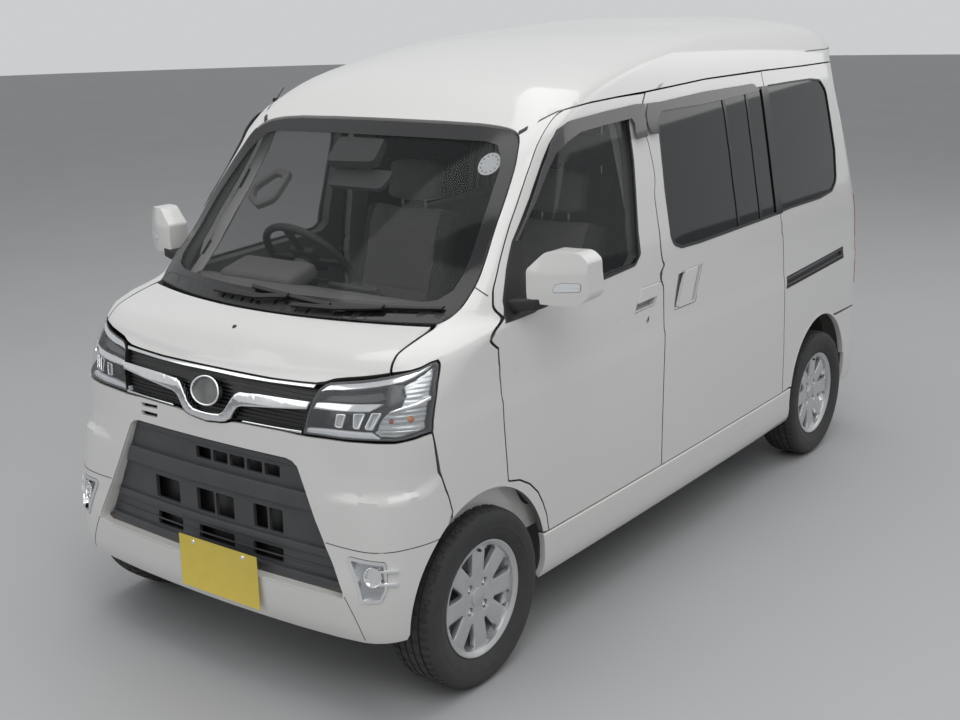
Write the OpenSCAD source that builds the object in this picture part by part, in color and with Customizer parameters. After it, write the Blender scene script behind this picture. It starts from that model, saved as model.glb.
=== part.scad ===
// Kei-class passenger van: a hollow body of separate panels on four wheels.
// +X is forward, +Y is the van's left side, +Z is up. The origin is on the
// ground, below the middle of the van's length and width.

/* [Overall] */
// Overall length
body_l = 3395; // [3300:5:3500]
// Overall width without the mirrors
body_w = 1475; // [1440:5:1520]
// Overall height
body_h = 1875; // [1850:5:1920]
// Distance between the axles
wheelbase = 2450; // [2420:5:2480]
// Front axle to the front end of the bumper
front_overhang = 420; // [405:1:435]

/* [Wheels] */
// Outer radius of the tyre
tyre_r = 272; // [262:1:278]
// Width of the tyre
tyre_w = 165; // [145:5:170]
// Radius of the rim's outer flange
rim_r = 178; // [170:1:184]
// Distance between the wheel centres across the van
track = 1292; // [1270:2:1300]
// Radius of the hub's bore
hub_bore_r = 30; // [26:0.5:32]
// Distance from the kingpin to the wheel's middle
king_offset = 46; // [42:1:50]
// Pitch circle of the wheel nuts
nut_pcd = 100; // [98:1:114]
// Radius of a wheel nut's pocket
nut_pocket_r = 13; // [11:0.5:15]
// Number of spokes
spokes = 8; // [7:1:9]

/* [Body lines] */
// Height of the sill's lower edge
sill_z = 222; // [210:2:235]
// Height of the lower edge of the doors
door_z = 380; // [370:2:392]
// Height of the lower edge of the side windows at the front
belt_z = 1092; // [1080:2:1105]
// Height of the upper edge of the side windows
window_top_z = 1606; // [1590:2:1615]
// Height of the bonnet's front edge
nose_z = 948; // [940:2:956]
// Height of the bonnet's rear edge
cowl_z = 1090; // [1084:2:1096]
// Height of the windscreen's upper edge
header_z = 1594; // [1584:2:1602]
// Height of the seam between roof and side
gutter_z = 1690; // [1680:2:1698]
// Height of the lamps' lower edge
lamp_z = 818; // [806:2:826]

/* [Walls] */
// Thickness of the doors
side_t = 50; // [45:1:60]
// Space behind a closed door
door_back = 6; // [5:0.5:8]
// Thickness of the posts and sills behind the doors
post_t = 28; // [22:1:34]
// Width of the posts' edge that a door closes on
land_w = 45; // [38:1:52]
// Thickness of the roof
roof_t = 30; // [24:1:36]
// Thickness of the window glass
glass_t = 5; // [4:0.5:8]
// Depth of the glass below the outer skin
glass_in = 5; // [3:0.5:8]
// Gap between one panel and the next
gap = 7; // [6:0.5:8]
// Clearance between a piece and what it seats on
seat = 0.3; // [0.2:0.05:0.5]
// Clearance of a shaft in its bore
running = 0.1; // [0.05:0.01:0.1]

/* [Arches] */
// Radius of the wheel arches
arch_r = 304; // [300:1:310]
// Height of the front arches' centre
front_arch_z = 300; // [292:2:306]
// Height of the rear arches' centre
rear_arch_z = 324; // [316:2:330]

/* [Cabin] */
// Height of the footwell floor
foot_z = 400; // [385:5:415]
// Height of the load floor and of the seat box
load_z = 625; // [600:5:640]
// Thickness of the floor
floor_t = 12; // [8:1:16]
// Outer radius of the steering wheel's rim
steer_r = 182; // [170:2:190]
// Rake of the steering column above the horizontal
column_rake = 40; // [35:1:45]

/* [Hidden] */
$fn = 48;

half_l = body_l / 2;
half_w = body_w / 2;
front_axle_x = half_l - front_overhang;
rear_axle_x = front_axle_x - wheelbase;
wheel_y = track / 2;
inner_t = side_t + door_back + post_t;
big = 4000;

// Smooth curve through points [z, value], monotone between them.
function slope_at(p, i) =
    let (n = len(p) - 1)
    i == 0 ? (p[1][1] - p[0][1]) / (p[1][0] - p[0][0])
    : i == n ? (p[n][1] - p[n - 1][1]) / (p[n][0] - p[n - 1][0])
    : let (a = (p[i][1] - p[i - 1][1]) / (p[i][0] - p[i - 1][0]),
           b = (p[i + 1][1] - p[i][1]) / (p[i + 1][0] - p[i][0]))
      a * b <= 0 ? 0 : 2 * a * b / (a + b);
function span_of(z, p, i = 0) = i >= len(p) - 2 || z <= p[i + 1][0] ? i : span_of(z, p, i + 1);
function hermite(t, h, a, b, sa, sb) =
    a * (2 * t * t * t - 3 * t * t + 1) + sa * h * (t * t * t - 2 * t * t + t)
    + b * (3 * t * t - 2 * t * t * t) + sb * h * (t * t * t - t * t);
function curve(z, p) =
    let (i = span_of(z, p), h = p[i + 1][0] - p[i][0], t = max(0, min(1, (z - p[i][0]) / h)))
    hermite(t, h, p[i][1], p[i + 1][1], slope_at(p, i), slope_at(p, i + 1));

// Each list gives, against height, how far a line of the body lies inside the
// overall length or width, or a corner's size.
front_line = [
    [150, 80], [200, 32], [235, 12], [300, 3], [380, 0], [480, 12], [600, 24], [720, 38],
    [lamp_z, 48], [883, 57], [nose_z, 84], [nose_z + 48, 120], [nose_z + 86, 156],
    [cowl_z - 26, 212], [cowl_z, 286], [cowl_z + 18, 308], [(cowl_z + header_z) / 2, 574],
    [header_z, 912], [header_z + 40, 966], [gutter_z, 1050], [gutter_z + 70, 1240],
    [body_h - 55, 1560], [body_h - 20, 2000], [body_h, 2300]
];
rear_line = [
    [150, 70], [215, 18], [260, 4], [330, 0], [520, 0], [600, 14], [650, 27], [1000, 38],
    [1150, 50], [1400, 84], [1600, 114], [gutter_z, 104], [gutter_z + 42, 66],
    [gutter_z + 80, 70], [body_h - 55, 140], [body_h - 25, 300], [body_h - 7, 560],
    [body_h, 900]
];
side_line = [
    [150, 110], [200, 50], [225, 26], [260, 12], [door_z - 10, 6], [500, 5], [700, 2],
    [850, 0], [868, 4], [1000, 6], [belt_z, 14], [1300, 46], [1500, 80], [window_top_z, 99],
    [gutter_z, 117], [gutter_z + 40, 124], [gutter_z + 80, 138], [body_h - 65, 164],
    [body_h - 40, 212], [body_h - 20, 300], [body_h - 7, 430], [body_h, 600]
];
front_corner_x = [
    [150, 170], [450, 160], [700, 190], [900, 220], [nose_z + 86, 215], [cowl_z, 200],
    [1200, 240], [1350, 240], [1480, 160], [header_z, 70], [gutter_z, 120], [1780, 320],
    [body_h - 30, 500], [body_h, 60]
];
front_corner_y = [
    [150, 140], [450, 140], [700, 200], [900, 270], [nose_z + 86, 240], [cowl_z, 150],
    [1200, 100], [1350, 100], [header_z, 100], [gutter_z, 150], [1780, 290], [body_h - 30, 300], [body_h, 60]
];
rear_corner = [
    [150, 120], [640, 110], [1100, 120], [1600, 135], [gutter_z + 50, 160],
    [body_h - 30, 250], [body_h, 40]
];
front_bow = [
    [150, 45], [450, 50], [900, 45], [nose_z + 86, 70], [cowl_z, 190], [1200, 185], [1350, 122],
    [1480, 52], [header_z - 44, 12], [header_z, 8], [gutter_z, 30],
    [body_h - 30, 160], [body_h, 40]
];
rear_bow = [[150, 30], [600, 30], [1100, 45], [1600, 60], [gutter_z + 50, 70], [body_h, 20]];
corner_power = 2.3;
side_taper = 12;

slices = [
    150, 205, 240, 372, 600, lamp_z, 883, nose_z, nose_z + 48, nose_z + 86, cowl_z,
    cowl_z + 18, 1200, 1310, 1420, 1510, header_z, header_z + 48, gutter_z, gutter_z + 50, gutter_z + 90,
    body_h - 50, body_h - 30, body_h - 10, body_h
];

// Half of the plan outline at height z, set in by t, from the front's middle
// round the left side to the rear's middle.
function tapered(p, w) = [p[0], p[1] - side_taper * pow(p[0] / 1300, 2) * p[1] / w];
function half_outline(z, t) =
    let (f = half_l - curve(z, front_line) - t,
         r = -half_l + curve(z, rear_line) + t,
         w = half_w - curve(z, side_line) - t,
         fx = curve(z, front_corner_x),
         fy = min(curve(z, front_corner_y), 0.8 * w),
         rc = min(curve(z, rear_corner), 0.7 * w),
         fb = curve(z, front_bow),
         rb = curve(z, rear_bow),
         e = 2 / corner_power,
         x1 = f - fb - fx,
         x2 = r + rb + rc)
    concat(
        [[f, 0]],
        [for (a = [0, 34, 57, 74, 90])
            let (y = w - fy + fy * pow(sin(a), e))
            tapered([f - fb * pow(y / w, 2) - fx * (1 - pow(cos(a), e)), y], w)],
        [tapered([(x1 + x2) / 2, w], w)],
        [for (a = [90, 54, 0])
            let (y = w - rc + rc * pow(sin(a), e))
            tapered([r + rb * pow(y / w, 2) + rc * (1 - pow(cos(a), e)), y], w)],
        [[r, 0]]
    );
function mirrored(h) = [for (i = [len(h) - 2:-1:1]) [h[i][0], -h[i][1]]];
function plan_outline(z, t) = let (h = half_outline(z, t)) concat(h, mirrored(h));

// How far the inner skin lies below the outer one at height z.
function top_drop(z, t) = t * max(0, min(1, (z - window_top_z) / (gutter_z + 60 - window_top_z)));

function ring(z, t) =
    let (h = z - top_drop(z, min(t, roof_t)))
    [for (p = plan_outline(z, t)) [p[0], p[1], h]];
// The slab of the body between two heights.
module slab(z1, z2, t) {
    a = ring(z1, t);
    n = len(a);
    hull()
        polyhedron(
            concat(a, ring(z2, t)),
            concat(
                [[for (k = [0:n - 1]) k], [for (k = [n - 1:-1:0]) n + k]],
                [for (k = [0:n - 1]) [k, n + k, n + (k + 1) % n, (k + 1) % n]]
            )
        );
}
module loft(t) {
    for (i = [0:len(slices) - 2]) slab(slices[i], slices[i + 1], t);
}
// The body's skin from depth a to depth b below the outer surface.
module skin(a, b) {
    difference() {
        loft(a);
        loft(b);
    }
}
// A side-view outline carried through the left side of the body.
module through_side(inner_y = 300) {
    translate([0, half_w + 60, 0])
        rotate([90, 0, 0])
            linear_extrude(half_w + 60 - inner_y)
                children();
}
// A side-view outline carried through the whole width.
module through_width() {
    rotate([90, 0, 0])
        linear_extrude(big, center = true)
            children();
}
// A front-view outline carried along the length, between two values of x.
module through_front(x1, x2) {
    translate([x1, 0, 0])
        rotate([90, 0, 90])
            linear_extrude(x2 - x1)
                children();
}
module rounded(r) {
    offset(r = r, $fn = 16) offset(delta = -r) children();
}
module both_sides() {
    children();
    mirror([0, 1, 0]) children();
}

// Side-view outlines, as [x, z].
seam_x = 265;
door_top_z = window_top_z + 44;
front_door_outline = [
    [seam_x, door_z], [front_axle_x - 300, door_z], [front_axle_x - 119, 606],
    [front_axle_x - 98, 796], [front_axle_x - 88, 1006], [front_axle_x - 86, belt_z - 28],
    [front_axle_x - 120, belt_z + 18], [front_axle_x - 149, belt_z + 74],
    [front_axle_x - 216, 1249], [front_axle_x - 265, 1314], [front_axle_x - 342, 1405],
    [front_axle_x - 409, 1485], [front_axle_x - 466, 1553], [front_axle_x - 514, 1600],
    [front_axle_x - 580, door_top_z - 20], [620, door_top_z - 7], [seam_x + 22, door_top_z]
];
slide_rear_x = rear_axle_x + 450;
sliding_door_outline = [
    [seam_x, door_z], [seam_x + 22, door_top_z], [-300, door_top_z + 14],
    [slide_rear_x + 14, door_top_z + 14], [slide_rear_x, 1150], [slide_rear_x - 60, 560],
    [slide_rear_x - 66, door_z]
];
front_window = [
    [seam_x + 108, belt_z + 38], [seam_x + 160, belt_z + 22], [front_axle_x - 170, belt_z - 8],
    [front_axle_x - 166, belt_z + 36], [front_axle_x - 214, 1208], [front_axle_x - 278, 1290],
    [front_axle_x - 370, 1395], [front_axle_x - 430, 1468], [front_axle_x - 482, 1530],
    [front_axle_x - 540, 1570], [front_axle_x - 600, window_top_z - 12], [506, window_top_z],
    [seam_x + 92, window_top_z + 4]
];
// Black corner plate that carries the mirror, in the front of the front window.
sail = [
    [front_axle_x - 330, belt_z - 60], [front_axle_x - 90, belt_z - 60],
    [front_axle_x - 90, 1330], [front_axle_x - 290, 1330], [front_axle_x - 290, belt_z + 170]
];
// Front-view limit between the windscreen pillar and the front door.
module outside_pillar(grow = 0) {
    through_front(-big, big)
        offset(delta = grow)
            polygon([
                [600, -10], [600, 1040], [half_w - 64, belt_z + 36], [half_w - 88, 1211],
                [half_w - 103, 1314], [half_w - 123, 1485], [half_w - 131, window_top_z],
                [400, 1780], [half_w + 100, 1780], [half_w + 100, -10]
            ]);
}
slide_window = [
    [seam_x - 112, belt_z + 42], [seam_x - 66, window_top_z + 4],
    [slide_rear_x + 122, window_top_z + 16], [slide_rear_x + 97, belt_z + 58]
];
quarter_window = [
    [slide_rear_x - 78, belt_z + 58], [slide_rear_x - 68, window_top_z + 12],
    [-half_l + 425, window_top_z - 4], [-half_l + 379, belt_z + 56]
];
gutter_curve = [
    [half_l, header_z - 90], [870, header_z + 10], [620, header_z + 52], [300, gutter_z - 18],
    [-200, gutter_z - 2], [-750, gutter_z], [-1300, gutter_z - 12], [-half_l, gutter_z - 24]
];
module above_gutter(up = 0) {
    translate([0, up])
        polygon(concat(gutter_curve, [[-half_l, 2 * body_h], [half_l, 2 * body_h]]));
}
module arch(x, z, grow = 0) {
    translate([x, z]) circle(arch_r + grow, $fn = 44);
    translate([x - arch_r - grow, 0]) square([2 * (arch_r + grow), z]);
}
module front_door_shape(shrink = 0) {
    difference() {
        offset(delta = -shrink) rounded(18) polygon(front_door_outline);
        arch(front_axle_x, front_arch_z, 30 + shrink);
    }
}
module sliding_door_shape(shrink = 0) {
    offset(delta = -shrink) rounded(24) polygon(sliding_door_outline);
}
rear_seam = [
    [-half_l + 267, 100], [-half_l + 267, 560], [-half_l + 201, 632], [-half_l - 30, 632],
    [-half_l - 30, 100]
];
front_seam = [
    [half_l - 177, lamp_z + 30], [half_l - 230, 725], [half_l - 280, 590], [half_l - 297, 520],
    [half_l - 297, 100], [half_l + 30, 100],
    [half_l + 30, lamp_z + 30]
];

// Front-view outlines, as [y, z].
windscreen_low_z = cowl_z + 34;
screen_half = half_w - 115;
screen_edge = [
    [screen_half, windscreen_low_z], [screen_half - 20, 1355], [screen_half - 41, 1486],
    [screen_half - 76, header_z - 8]
];
windscreen_shape = concat(screen_edge, [for (i = [3:-1:0]) [-screen_edge[i][0], screen_edge[i][1]]]);
header_half = screen_half - 70;
lamp_inner_y = 398;
lamp_outer_y = half_w - 33;
lamp_shape = [
    [lamp_inner_y - 26, lamp_z + 1], [lamp_inner_y + 40, lamp_z + 4], [560, lamp_z + 9],
    [645, lamp_z + 8], [lamp_outer_y - 23, lamp_z + 15], [lamp_outer_y, lamp_z + 24],
    [lamp_outer_y - 2, nose_z - 63], [lamp_outer_y - 4, nose_z - 11],
    [lamp_outer_y - 13, nose_z + 38], [lamp_outer_y - 20, nose_z + 65],
    [lamp_outer_y - 28, nose_z + 74], [636, nose_z + 54], [596, nose_z + 45],
    [481, nose_z + 26], [lamp_inner_y + 24, nose_z + 12], [lamp_inner_y + 12, nose_z],
    [lamp_inner_y - 4, nose_z - 38]
];
lamp_rear_x = half_l - 310;
bonnet_half = half_w - 149;
bonnet_t = 24;
bonnet_edge = [
    [bonnet_half, cowl_z - gap], [bonnet_half, nose_z + 46 + gap], [481, nose_z + 27 + gap],
    [lamp_inner_y + 14, nose_z + 14 + gap], [lamp_inner_y - 14, nose_z + 8], [150, nose_z + 2]
];
bonnet_shape = concat(bonnet_edge, [for (i = [5:-1:0]) [-bonnet_edge[i][0], bonnet_edge[i][1]]]);
gate_low_z = 640;
gate_half = half_w - 97.5;
gate_hinge_x = 197.5 - half_l;
gate_hinge_z = body_h - 34;
gate_shape = [
    [-gate_half, gate_low_z], [gate_half, gate_low_z], [gate_half, 1080], [gate_half - 68, 1640],
    [half_w, 1656], [half_w, 2 * body_h], [-half_w, 2 * body_h], [-half_w, 1656],
    [68 - gate_half, 1640], [-gate_half, 1080]
];
gate_window = [
    [80 - gate_half, 1130], [gate_half - 80, 1130], [gate_half - 130, 1590], [130 - gate_half, 1590]
];
tail_lamp_shape = [
    [gate_half + gap + 6, 680], [half_w + 9, 680], [half_w + 9, 1110], [gate_half + gap + 6, 1110]
];
lid_x = rear_axle_x - 222.5;
lid_z = 752;
lid_w = 130;
lid_t = 5;

// Fixed body panels.
module header_area(grow) {
    through_front(600, big)
        difference() {
            translate([-header_half - grow, header_z - 60])
                square([2 * (header_half + grow), 400]);
            offset(delta = seat) rounded(30) polygon(windscreen_shape);
        }
}
module roof() {
    color("white")
        intersection() {
            skin(0, roof_t);
            union() {
                through_width() above_gutter();
                header_area(-seat);
            }
            translate([gate_hinge_x + gap, -big / 2, 0]) cube([big, big, big]);
        }
}
// An opening in the side: the panel's recess and the smaller way through.
module side_opening() {
    difference() {
        through_side() offset(delta = gap) children();
        loft(side_t + door_back);
    }
    through_side() offset(delta = -land_w) children();
}
module body_side() {
    difference() {
        intersection() {
            skin(0, inner_t);
            translate([-half_l, 480, sill_z + 8]) cube([body_l, half_w, body_h]);
        }
        through_width() above_gutter(-2 * seat);
        header_area(0);
        difference() {
            side_opening() front_door_shape();
            difference() {
                translate([-half_l, 0, 0]) cube([body_l, half_w, body_h]);
                outside_pillar(gap);
            }
        }
        side_opening() sliding_door_shape();
        through_side() arch(front_axle_x, front_arch_z);
        through_side() arch(rear_axle_x, rear_arch_z);
        through_side() rounded(30) polygon(quarter_window);
        // windscreen and cowl
        through_front(600, big) offset(delta = seat) rounded(30) polygon(windscreen_shape);
        through_front(600, big)
            translate([-screen_half, cowl_z - gap])
                square([2 * screen_half, windscreen_low_z - cowl_z + gap + seat]);
        // ledge under the bonnet
        difference() {
            through_front(1200, big) offset(delta = gap) polygon(bonnet_shape);
            loft(bonnet_t + seat);
        }
        // lamp and bumpers
        through_front(lamp_rear_x, big) offset(delta = seat) polygon(lamp_shape);
        through_width() offset(delta = seat) polygon(front_seam);
        through_width() offset(delta = seat) polygon(rear_seam);
        // tailgate
        difference() {
            through_front(-half_l - 10, gate_hinge_x + gap) offset(delta = gap) polygon(gate_shape);
            loft(side_t + door_back);
        }
        through_front(-half_l - 10, gate_hinge_x + gap) offset(delta = -land_w) polygon(gate_shape);
        through_front(-half_l - 10, -half_l + 120) difference() {
            offset(delta = seat) polygon(tail_lamp_shape);
        }
        // side rail of the sliding door
        translate([slide_rear_x - 656, half_w - 32, 828]) cube([600, 60, 44]);
        // sill behind the skirt
        difference() {
            through_side() square([2 * body_l, 2 * (door_z - gap)], center = true);
            loft(skirt_t + seat);
            translate([front_axle_x, 0, 0]) cube(big);
            translate([-big + rear_axle_x, 0, 0]) cube(big);
        }
    }
}
skirt_t = 20;
module body_side_left() {
    color("white") body_side();
}
module fuel_lid_area(grow) {
    translate([lid_x - lid_w / 2 - grow, -half_w - 40, lid_z - lid_w / 2 - grow])
        cube([lid_w + 2 * grow, 200, lid_w + 2 * grow]);
}
module body_side_right() {
    color("white")
        difference() {
            mirror([0, 1, 0]) body_side();
            intersection() {
                fuel_lid_area(3);
                difference() {
                    loft(-5);
                    loft(lid_t + seat);
                }
            }
            intersection() {
                fuel_lid_area(-12);
                difference() {
                    loft(-5);
                    loft(45);
                }
            }
        }
}
module fuel_lid() {
    color("white")
        intersection() {
            skin(0, lid_t);
            fuel_lid_area(0);
        }
}
module side_skirts() {
    color("white")
        both_sides()
            difference() {
                intersection() {
                    skin(0, skirt_t);
                    translate([rear_axle_x, 0, sill_z])
                        cube([wheelbase, half_w, door_z - gap - sill_z - seat]);
                }
                through_side() arch(front_axle_x, front_arch_z);
                through_side() arch(rear_axle_x, rear_arch_z);
            }
}
module bumper_opening() {
    rounded(14) polygon([[-490, 380], [490, 380], [337, 741], [-337, 741]]);
}
module fog_shape() {
    rounded(8)
        polygon([[526, 504], [647, 502], [655, 424], [642, 387], [584, 377], [571, 414]]);
}
bumper_top_z = lamp_z - 3;
module front_bumper() {
    color("white")
        difference() {
            intersection() {
                skin(0, 30);
                through_width() polygon(front_seam);
                translate([0, 0, bumper_top_z - half_l]) cube(2 * half_l, center = true);
                translate([0, 0, sill_z + half_l]) cube(2 * half_l, center = true);
            }
            both_sides() through_side() arch(front_axle_x, front_arch_z);
            through_front(1200, big) offset(delta = seat) bumper_opening();
            both_sides() through_front(1560, big) offset(delta = seat) fog_shape();
            // two slots on the right of the emblem
            for (z = [lamp_z - 30, lamp_z - 54])
                translate([half_l - 120, -290, z]) cube([200, 76, 12]);
        }
}
module bumper_grille() {
    rows = [404, 478, 560, 640, 716];
    color("dimgray")
        union() {
            // backing with a row of openings between the slats
            difference() {
                intersection() {
                    skin(20, 30);
                    through_front(1400, big) bumper_opening();
                }
                for (i = [0:3], y = [-330:110:330])
                    if (abs(y) + 46 < 478 - 0.43 * (rows[i] - 380))
                        translate([1400, y - 44, rows[i] + 20]) cube([big, 88, rows[i + 1] - rows[i] - 40]);
            }
            // slats
            intersection() {
                skin(8, 26);
                through_front(1400, big)
                    intersection() {
                        offset(delta = -3) bumper_opening();
                        union() for (z = rows) translate([-big / 2, z - 17]) square([big, 34]);
                    }
            }
        }
}
module upper_grille() {
    grille = [
        [-lamp_inner_y + 32, bumper_top_z + seat], [lamp_inner_y - 32, bumper_top_z + seat],
        [lamp_inner_y + 3, nose_z - 4], [-lamp_inner_y - 3, nose_z - 4]
    ];
    band = [
        [-lamp_inner_y, 912], [-128, 900], [-82, 838], [82, 838], [128, 900],
        [lamp_inner_y, 912], [lamp_inner_y - 6, 888], [150, 868], [112, lamp_z + 8],
        [-112, lamp_z + 8], [-150, 868], [-lamp_inner_y + 6, 888]
    ];
    color("black")
        union() {
            intersection() {
                skin(12, 30);
                through_front(1400, big) polygon(grille);
            }
            intersection() {
                skin(2, 25);
                through_front(1400, big)
                    intersection() {
                        offset(delta = -3) polygon(grille);
                        union() {
                            polygon(band);
                            translate([-500, nose_z - 17]) square([1000, 12]);
                        }
                    }
            }
            intersection() {
                translate([half_l - 197, 0, lamp_z + 66])
                    rotate([0, 90, 0]) cylinder(r = 43, h = 400, $fn = 24);
                skin(-6, 21);
            }
        }
}
module headlamps() {
    color("lightgray")
        both_sides()
            intersection() {
                skin(1, 70);
                through_front(lamp_rear_x + seat, big) polygon(lamp_shape);
            }
}
module fog_lamps() {
    color("silver")
        both_sides()
            intersection() {
                skin(4, 60);
                through_front(1560, big) fog_shape();
            }
}
// Room for the bonnet's rear edge, which rises a little as the bonnet opens.
cowl_low_z = cowl_z + 4;
module cowl() {
    color("black")
        intersection() {
            skin(8, 50);
            through_front(1150, big)
                translate([-screen_half + seat, cowl_low_z])
                    square([2 * (screen_half - seat), windscreen_low_z - cowl_low_z - seat]);
        }
}
module windscreen() {
    color("darkslategray", 0.5)
        intersection() {
            skin(glass_in, glass_in + glass_t);
            through_front(600, big) offset(delta = -seat) rounded(30) polygon(windscreen_shape);
        }
}
module fitted_glass() {
    intersection() {
        skin(glass_in, glass_in + glass_t);
        through_side() offset(delta = -seat) children();
    }
}
module side_glass() {
    color("darkslategray", 0.5)
        both_sides() {
            fitted_glass() rounded(30) polygon(slide_window);
            fitted_glass() rounded(30) polygon(quarter_window);
        }
}
module rear_bumper() {
    color("white")
        difference() {
            intersection() {
                skin(0, inner_t);
                through_width() polygon(rear_seam);
                translate([0, 0, sill_z + 10 + half_l]) cube(2 * half_l, center = true);
            }
            both_sides() through_side() arch(rear_axle_x, rear_arch_z);
        }
}
module tail_lamps() {
    color("darkred")
        both_sides()
            intersection() {
                skin(-3, 40);
                through_front(-half_l - 20, -half_l + 120 - seat) polygon(tail_lamp_shape);
            }
}

// Doors, bonnet and tailgate. A door's edge carries a seal that meets the post.
module door_body() {
    difference() {
        intersection() {
            skin(0, side_t + door_back - seat);
            through_side() children();
        }
        intersection() {
            through_side() offset(delta = -28) children();
            loft(side_t);
        }
    }
}
module front_door() {
    difference() {
        intersection() {
            door_body() front_door_shape();
            outside_pillar();
        }
        through_side() rounded(24) polygon(front_window);
        // recess behind the handle
        translate([316, half_w - 22, 972]) cube([116, 60, 66]);
    }
}
module front_door_glass() {
    color("darkslategray", 0.5)
        intersection() {
            fitted_glass()
                difference() {
                    rounded(24) polygon(front_window);
                    polygon(sail);
                }
            outside_pillar();
        }
}
module front_door_left() {
    color("white") front_door();
}
module front_door_right() {
    color("white") mirror([0, 1, 0]) front_door();
}
module front_door_glass_left() {
    front_door_glass();
}
module front_door_glass_right() {
    mirror([0, 1, 0]) front_door_glass();
}
mirror_x = front_axle_x - 168;
mirror_z = belt_z + 112;
module mirror_plate() {
    intersection() {
        through_side()
            offset(delta = -seat)
                intersection() {
                    rounded(24) polygon(front_window);
                    polygon(sail);
                }
        outside_pillar(-seat);
    }
}
module mirror_unit() {
    difference() {
        union() {
            // foot on the corner plate
            hull() {
                translate([mirror_x - 44, half_w - 66, belt_z - 4]) cube([40, 50, 44]);
                translate([mirror_x - 70, half_w + 30, mirror_z - 78]) cube([52, 32, 36]);
            }
            hull()
                // swept back and rounded in front
                for (dy = [0, 0.5, 1], dz = [-1, 1], dx = [0, 1])
                    translate([
                        mirror_x - 80 + 42 * dx + 14 * dy - 80 * dy * dy,
                        half_w + 40 + 126 * dy, mirror_z + 56 * dz
                    ])
                        sphere(26, $fn = 16);
        }
        loft(7);
        difference() {
            loft(-seat);
            mirror_plate();
        }
    }
    // corner plate
    intersection() {
        skin(2, 12);
        mirror_plate();
    }
}
module mirror_left() {
    color("white") mirror_unit();
}
module mirror_right() {
    color("white") mirror([0, 1, 0]) mirror_unit();
}
module sliding_doors() {
    color("white")
        both_sides()
            difference() {
                door_body()
                    difference() {
                        sliding_door_shape();
                        offset(delta = gap) front_door_shape();
                    }
                through_side() rounded(30) polygon(slide_window);
                translate([76, half_w - 22, 908]) cube([54, 60, 140]);
            }
}
module gate_area() {
    through_front(-half_l - 20, gate_hinge_x) children();
}
module tailgate() {
    color("white")
        difference() {
            intersection() {
                skin(0, side_t + door_back - seat);
                gate_area() polygon(gate_shape);
            }
            intersection() {
                gate_area() offset(delta = -28) polygon(gate_shape);
                loft(side_t);
            }
            gate_area() rounded(40) polygon(gate_window);
        }
}
module tailgate_glass() {
    color("darkslategray", 0.5)
        intersection() {
            skin(glass_in, glass_in + glass_t);
            gate_area() offset(delta = -seat) rounded(40) polygon(gate_window);
        }
}
module bonnet() {
    color("white")
        intersection() {
            skin(0, bonnet_t);
            through_front(1200, big) polygon(bonnet_shape);
        }
}

// Floor, wheel wells and firewall.
front_well_y = 384;
rear_well_y = 466;
well_t = 12;
floor_line = [
    [1242, 760], [1150, foot_z], [850, foot_z], [826, load_z], [236, load_z], [212, 470],
    [-420, 470], [-330, load_z], [-half_l, load_z]
];
rail_z = 320;
// The floor's section: what lies just below the cabin's space.
module floor_sheet() {
    difference() {
        offset(delta = floor_t) cabin_space();
        cabin_space();
        translate([-big, 760]) square(2 * big);
    }
}
module cabin_space() {
    polygon(concat(floor_line, [[-half_l, body_h], [floor_line[0][0], body_h]]));
}
module well_space(x, z, inner_y, grow) {
    through_side(inner_y) arch(x, z, grow);
}
module wheel_spaces(grow) {
    both_sides() {
        well_space(front_axle_x, front_arch_z, front_well_y, grow);
        well_space(rear_axle_x, rear_arch_z, rear_well_y, grow);
    }
}
module floor() {
    color("gray")
        difference() {
            union() {
                intersection() {
                    through_width() floor_sheet();
                    loft(inner_t + seat);
                }
                // two rails below the floor
                for (s = [-1, 1])
                    translate([0, s * 340 + 30, 0])
                        rotate([90, 0, 0])
                            linear_extrude(60)
                                polygon([
                                    [half_l - 108, rail_z], [half_l - 108, 388], [1180, foot_z - 8],
                                    [840, foot_z - 8],
                                    [832, load_z - 8], [228, load_z - 8], [206, 464],
                                    [-418, 464], [-334, load_z - 8], [124 - half_l, load_z - 8],
                                    [112 - half_l, 560], [112 - half_l, 420], [rear_axle_x + 252, 420],
                                    [rear_axle_x + 332, rail_z]
                                ]);
            }
            wheel_spaces(2 + well_t + seat);
        }
}
module wheel_wells() {
    color("dimgray")
        intersection() {
            difference() {
                wheel_spaces(2 + well_t);
                both_sides() {
                    well_space(front_axle_x, front_arch_z, front_well_y + well_t, 2);
                    well_space(rear_axle_x, rear_arch_z, rear_well_y + well_t, 2);
                }
                translate([0, -big / 2, -1]) cube([big, big, 251]);
                translate([-big, -big / 2, -1]) cube([big, big, 331]);
            }
            loft(inner_t + seat);
        }
}
module firewall() {
    color("gray")
        union() {
            intersection() {
                translate([1256, -half_w, 750]) cube([12, body_w, cowl_z - 50 - 750]);
                loft(inner_t + seat);
            }
            // bumper beam across the rails' ends
            intersection() {
                skin(30 + seat, 70);
                translate([1400, -560, rail_z]) cube([400, 1120, 70]);
            }
        }
}
module dashboard() {
    color("dimgray")
        union() {
            intersection() {
                through_width()
                    polygon([
                        [1256 - seat, 760], [1256 - seat, cowl_z - 48], [1385, cowl_z - 12],
                        [1380, cowl_z + 2], [1180, cowl_z + 8], [1040, 1068], [968, 1012],
                        [955, 900], [1040, 780]
                    ]);
                loft(inner_t + seat);
            }
            // shroud round the steering column
            steering_place() translate([0, 0, -160]) cylinder(r = 42, h = 160 - 30);
        }
}
steer_x = 862;
steer_y = -318;
steer_z = 1108;
module steering_place() {
    translate([steer_x, steer_y, steer_z]) rotate([0, column_rake - 90, 0]) children();
}
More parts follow.
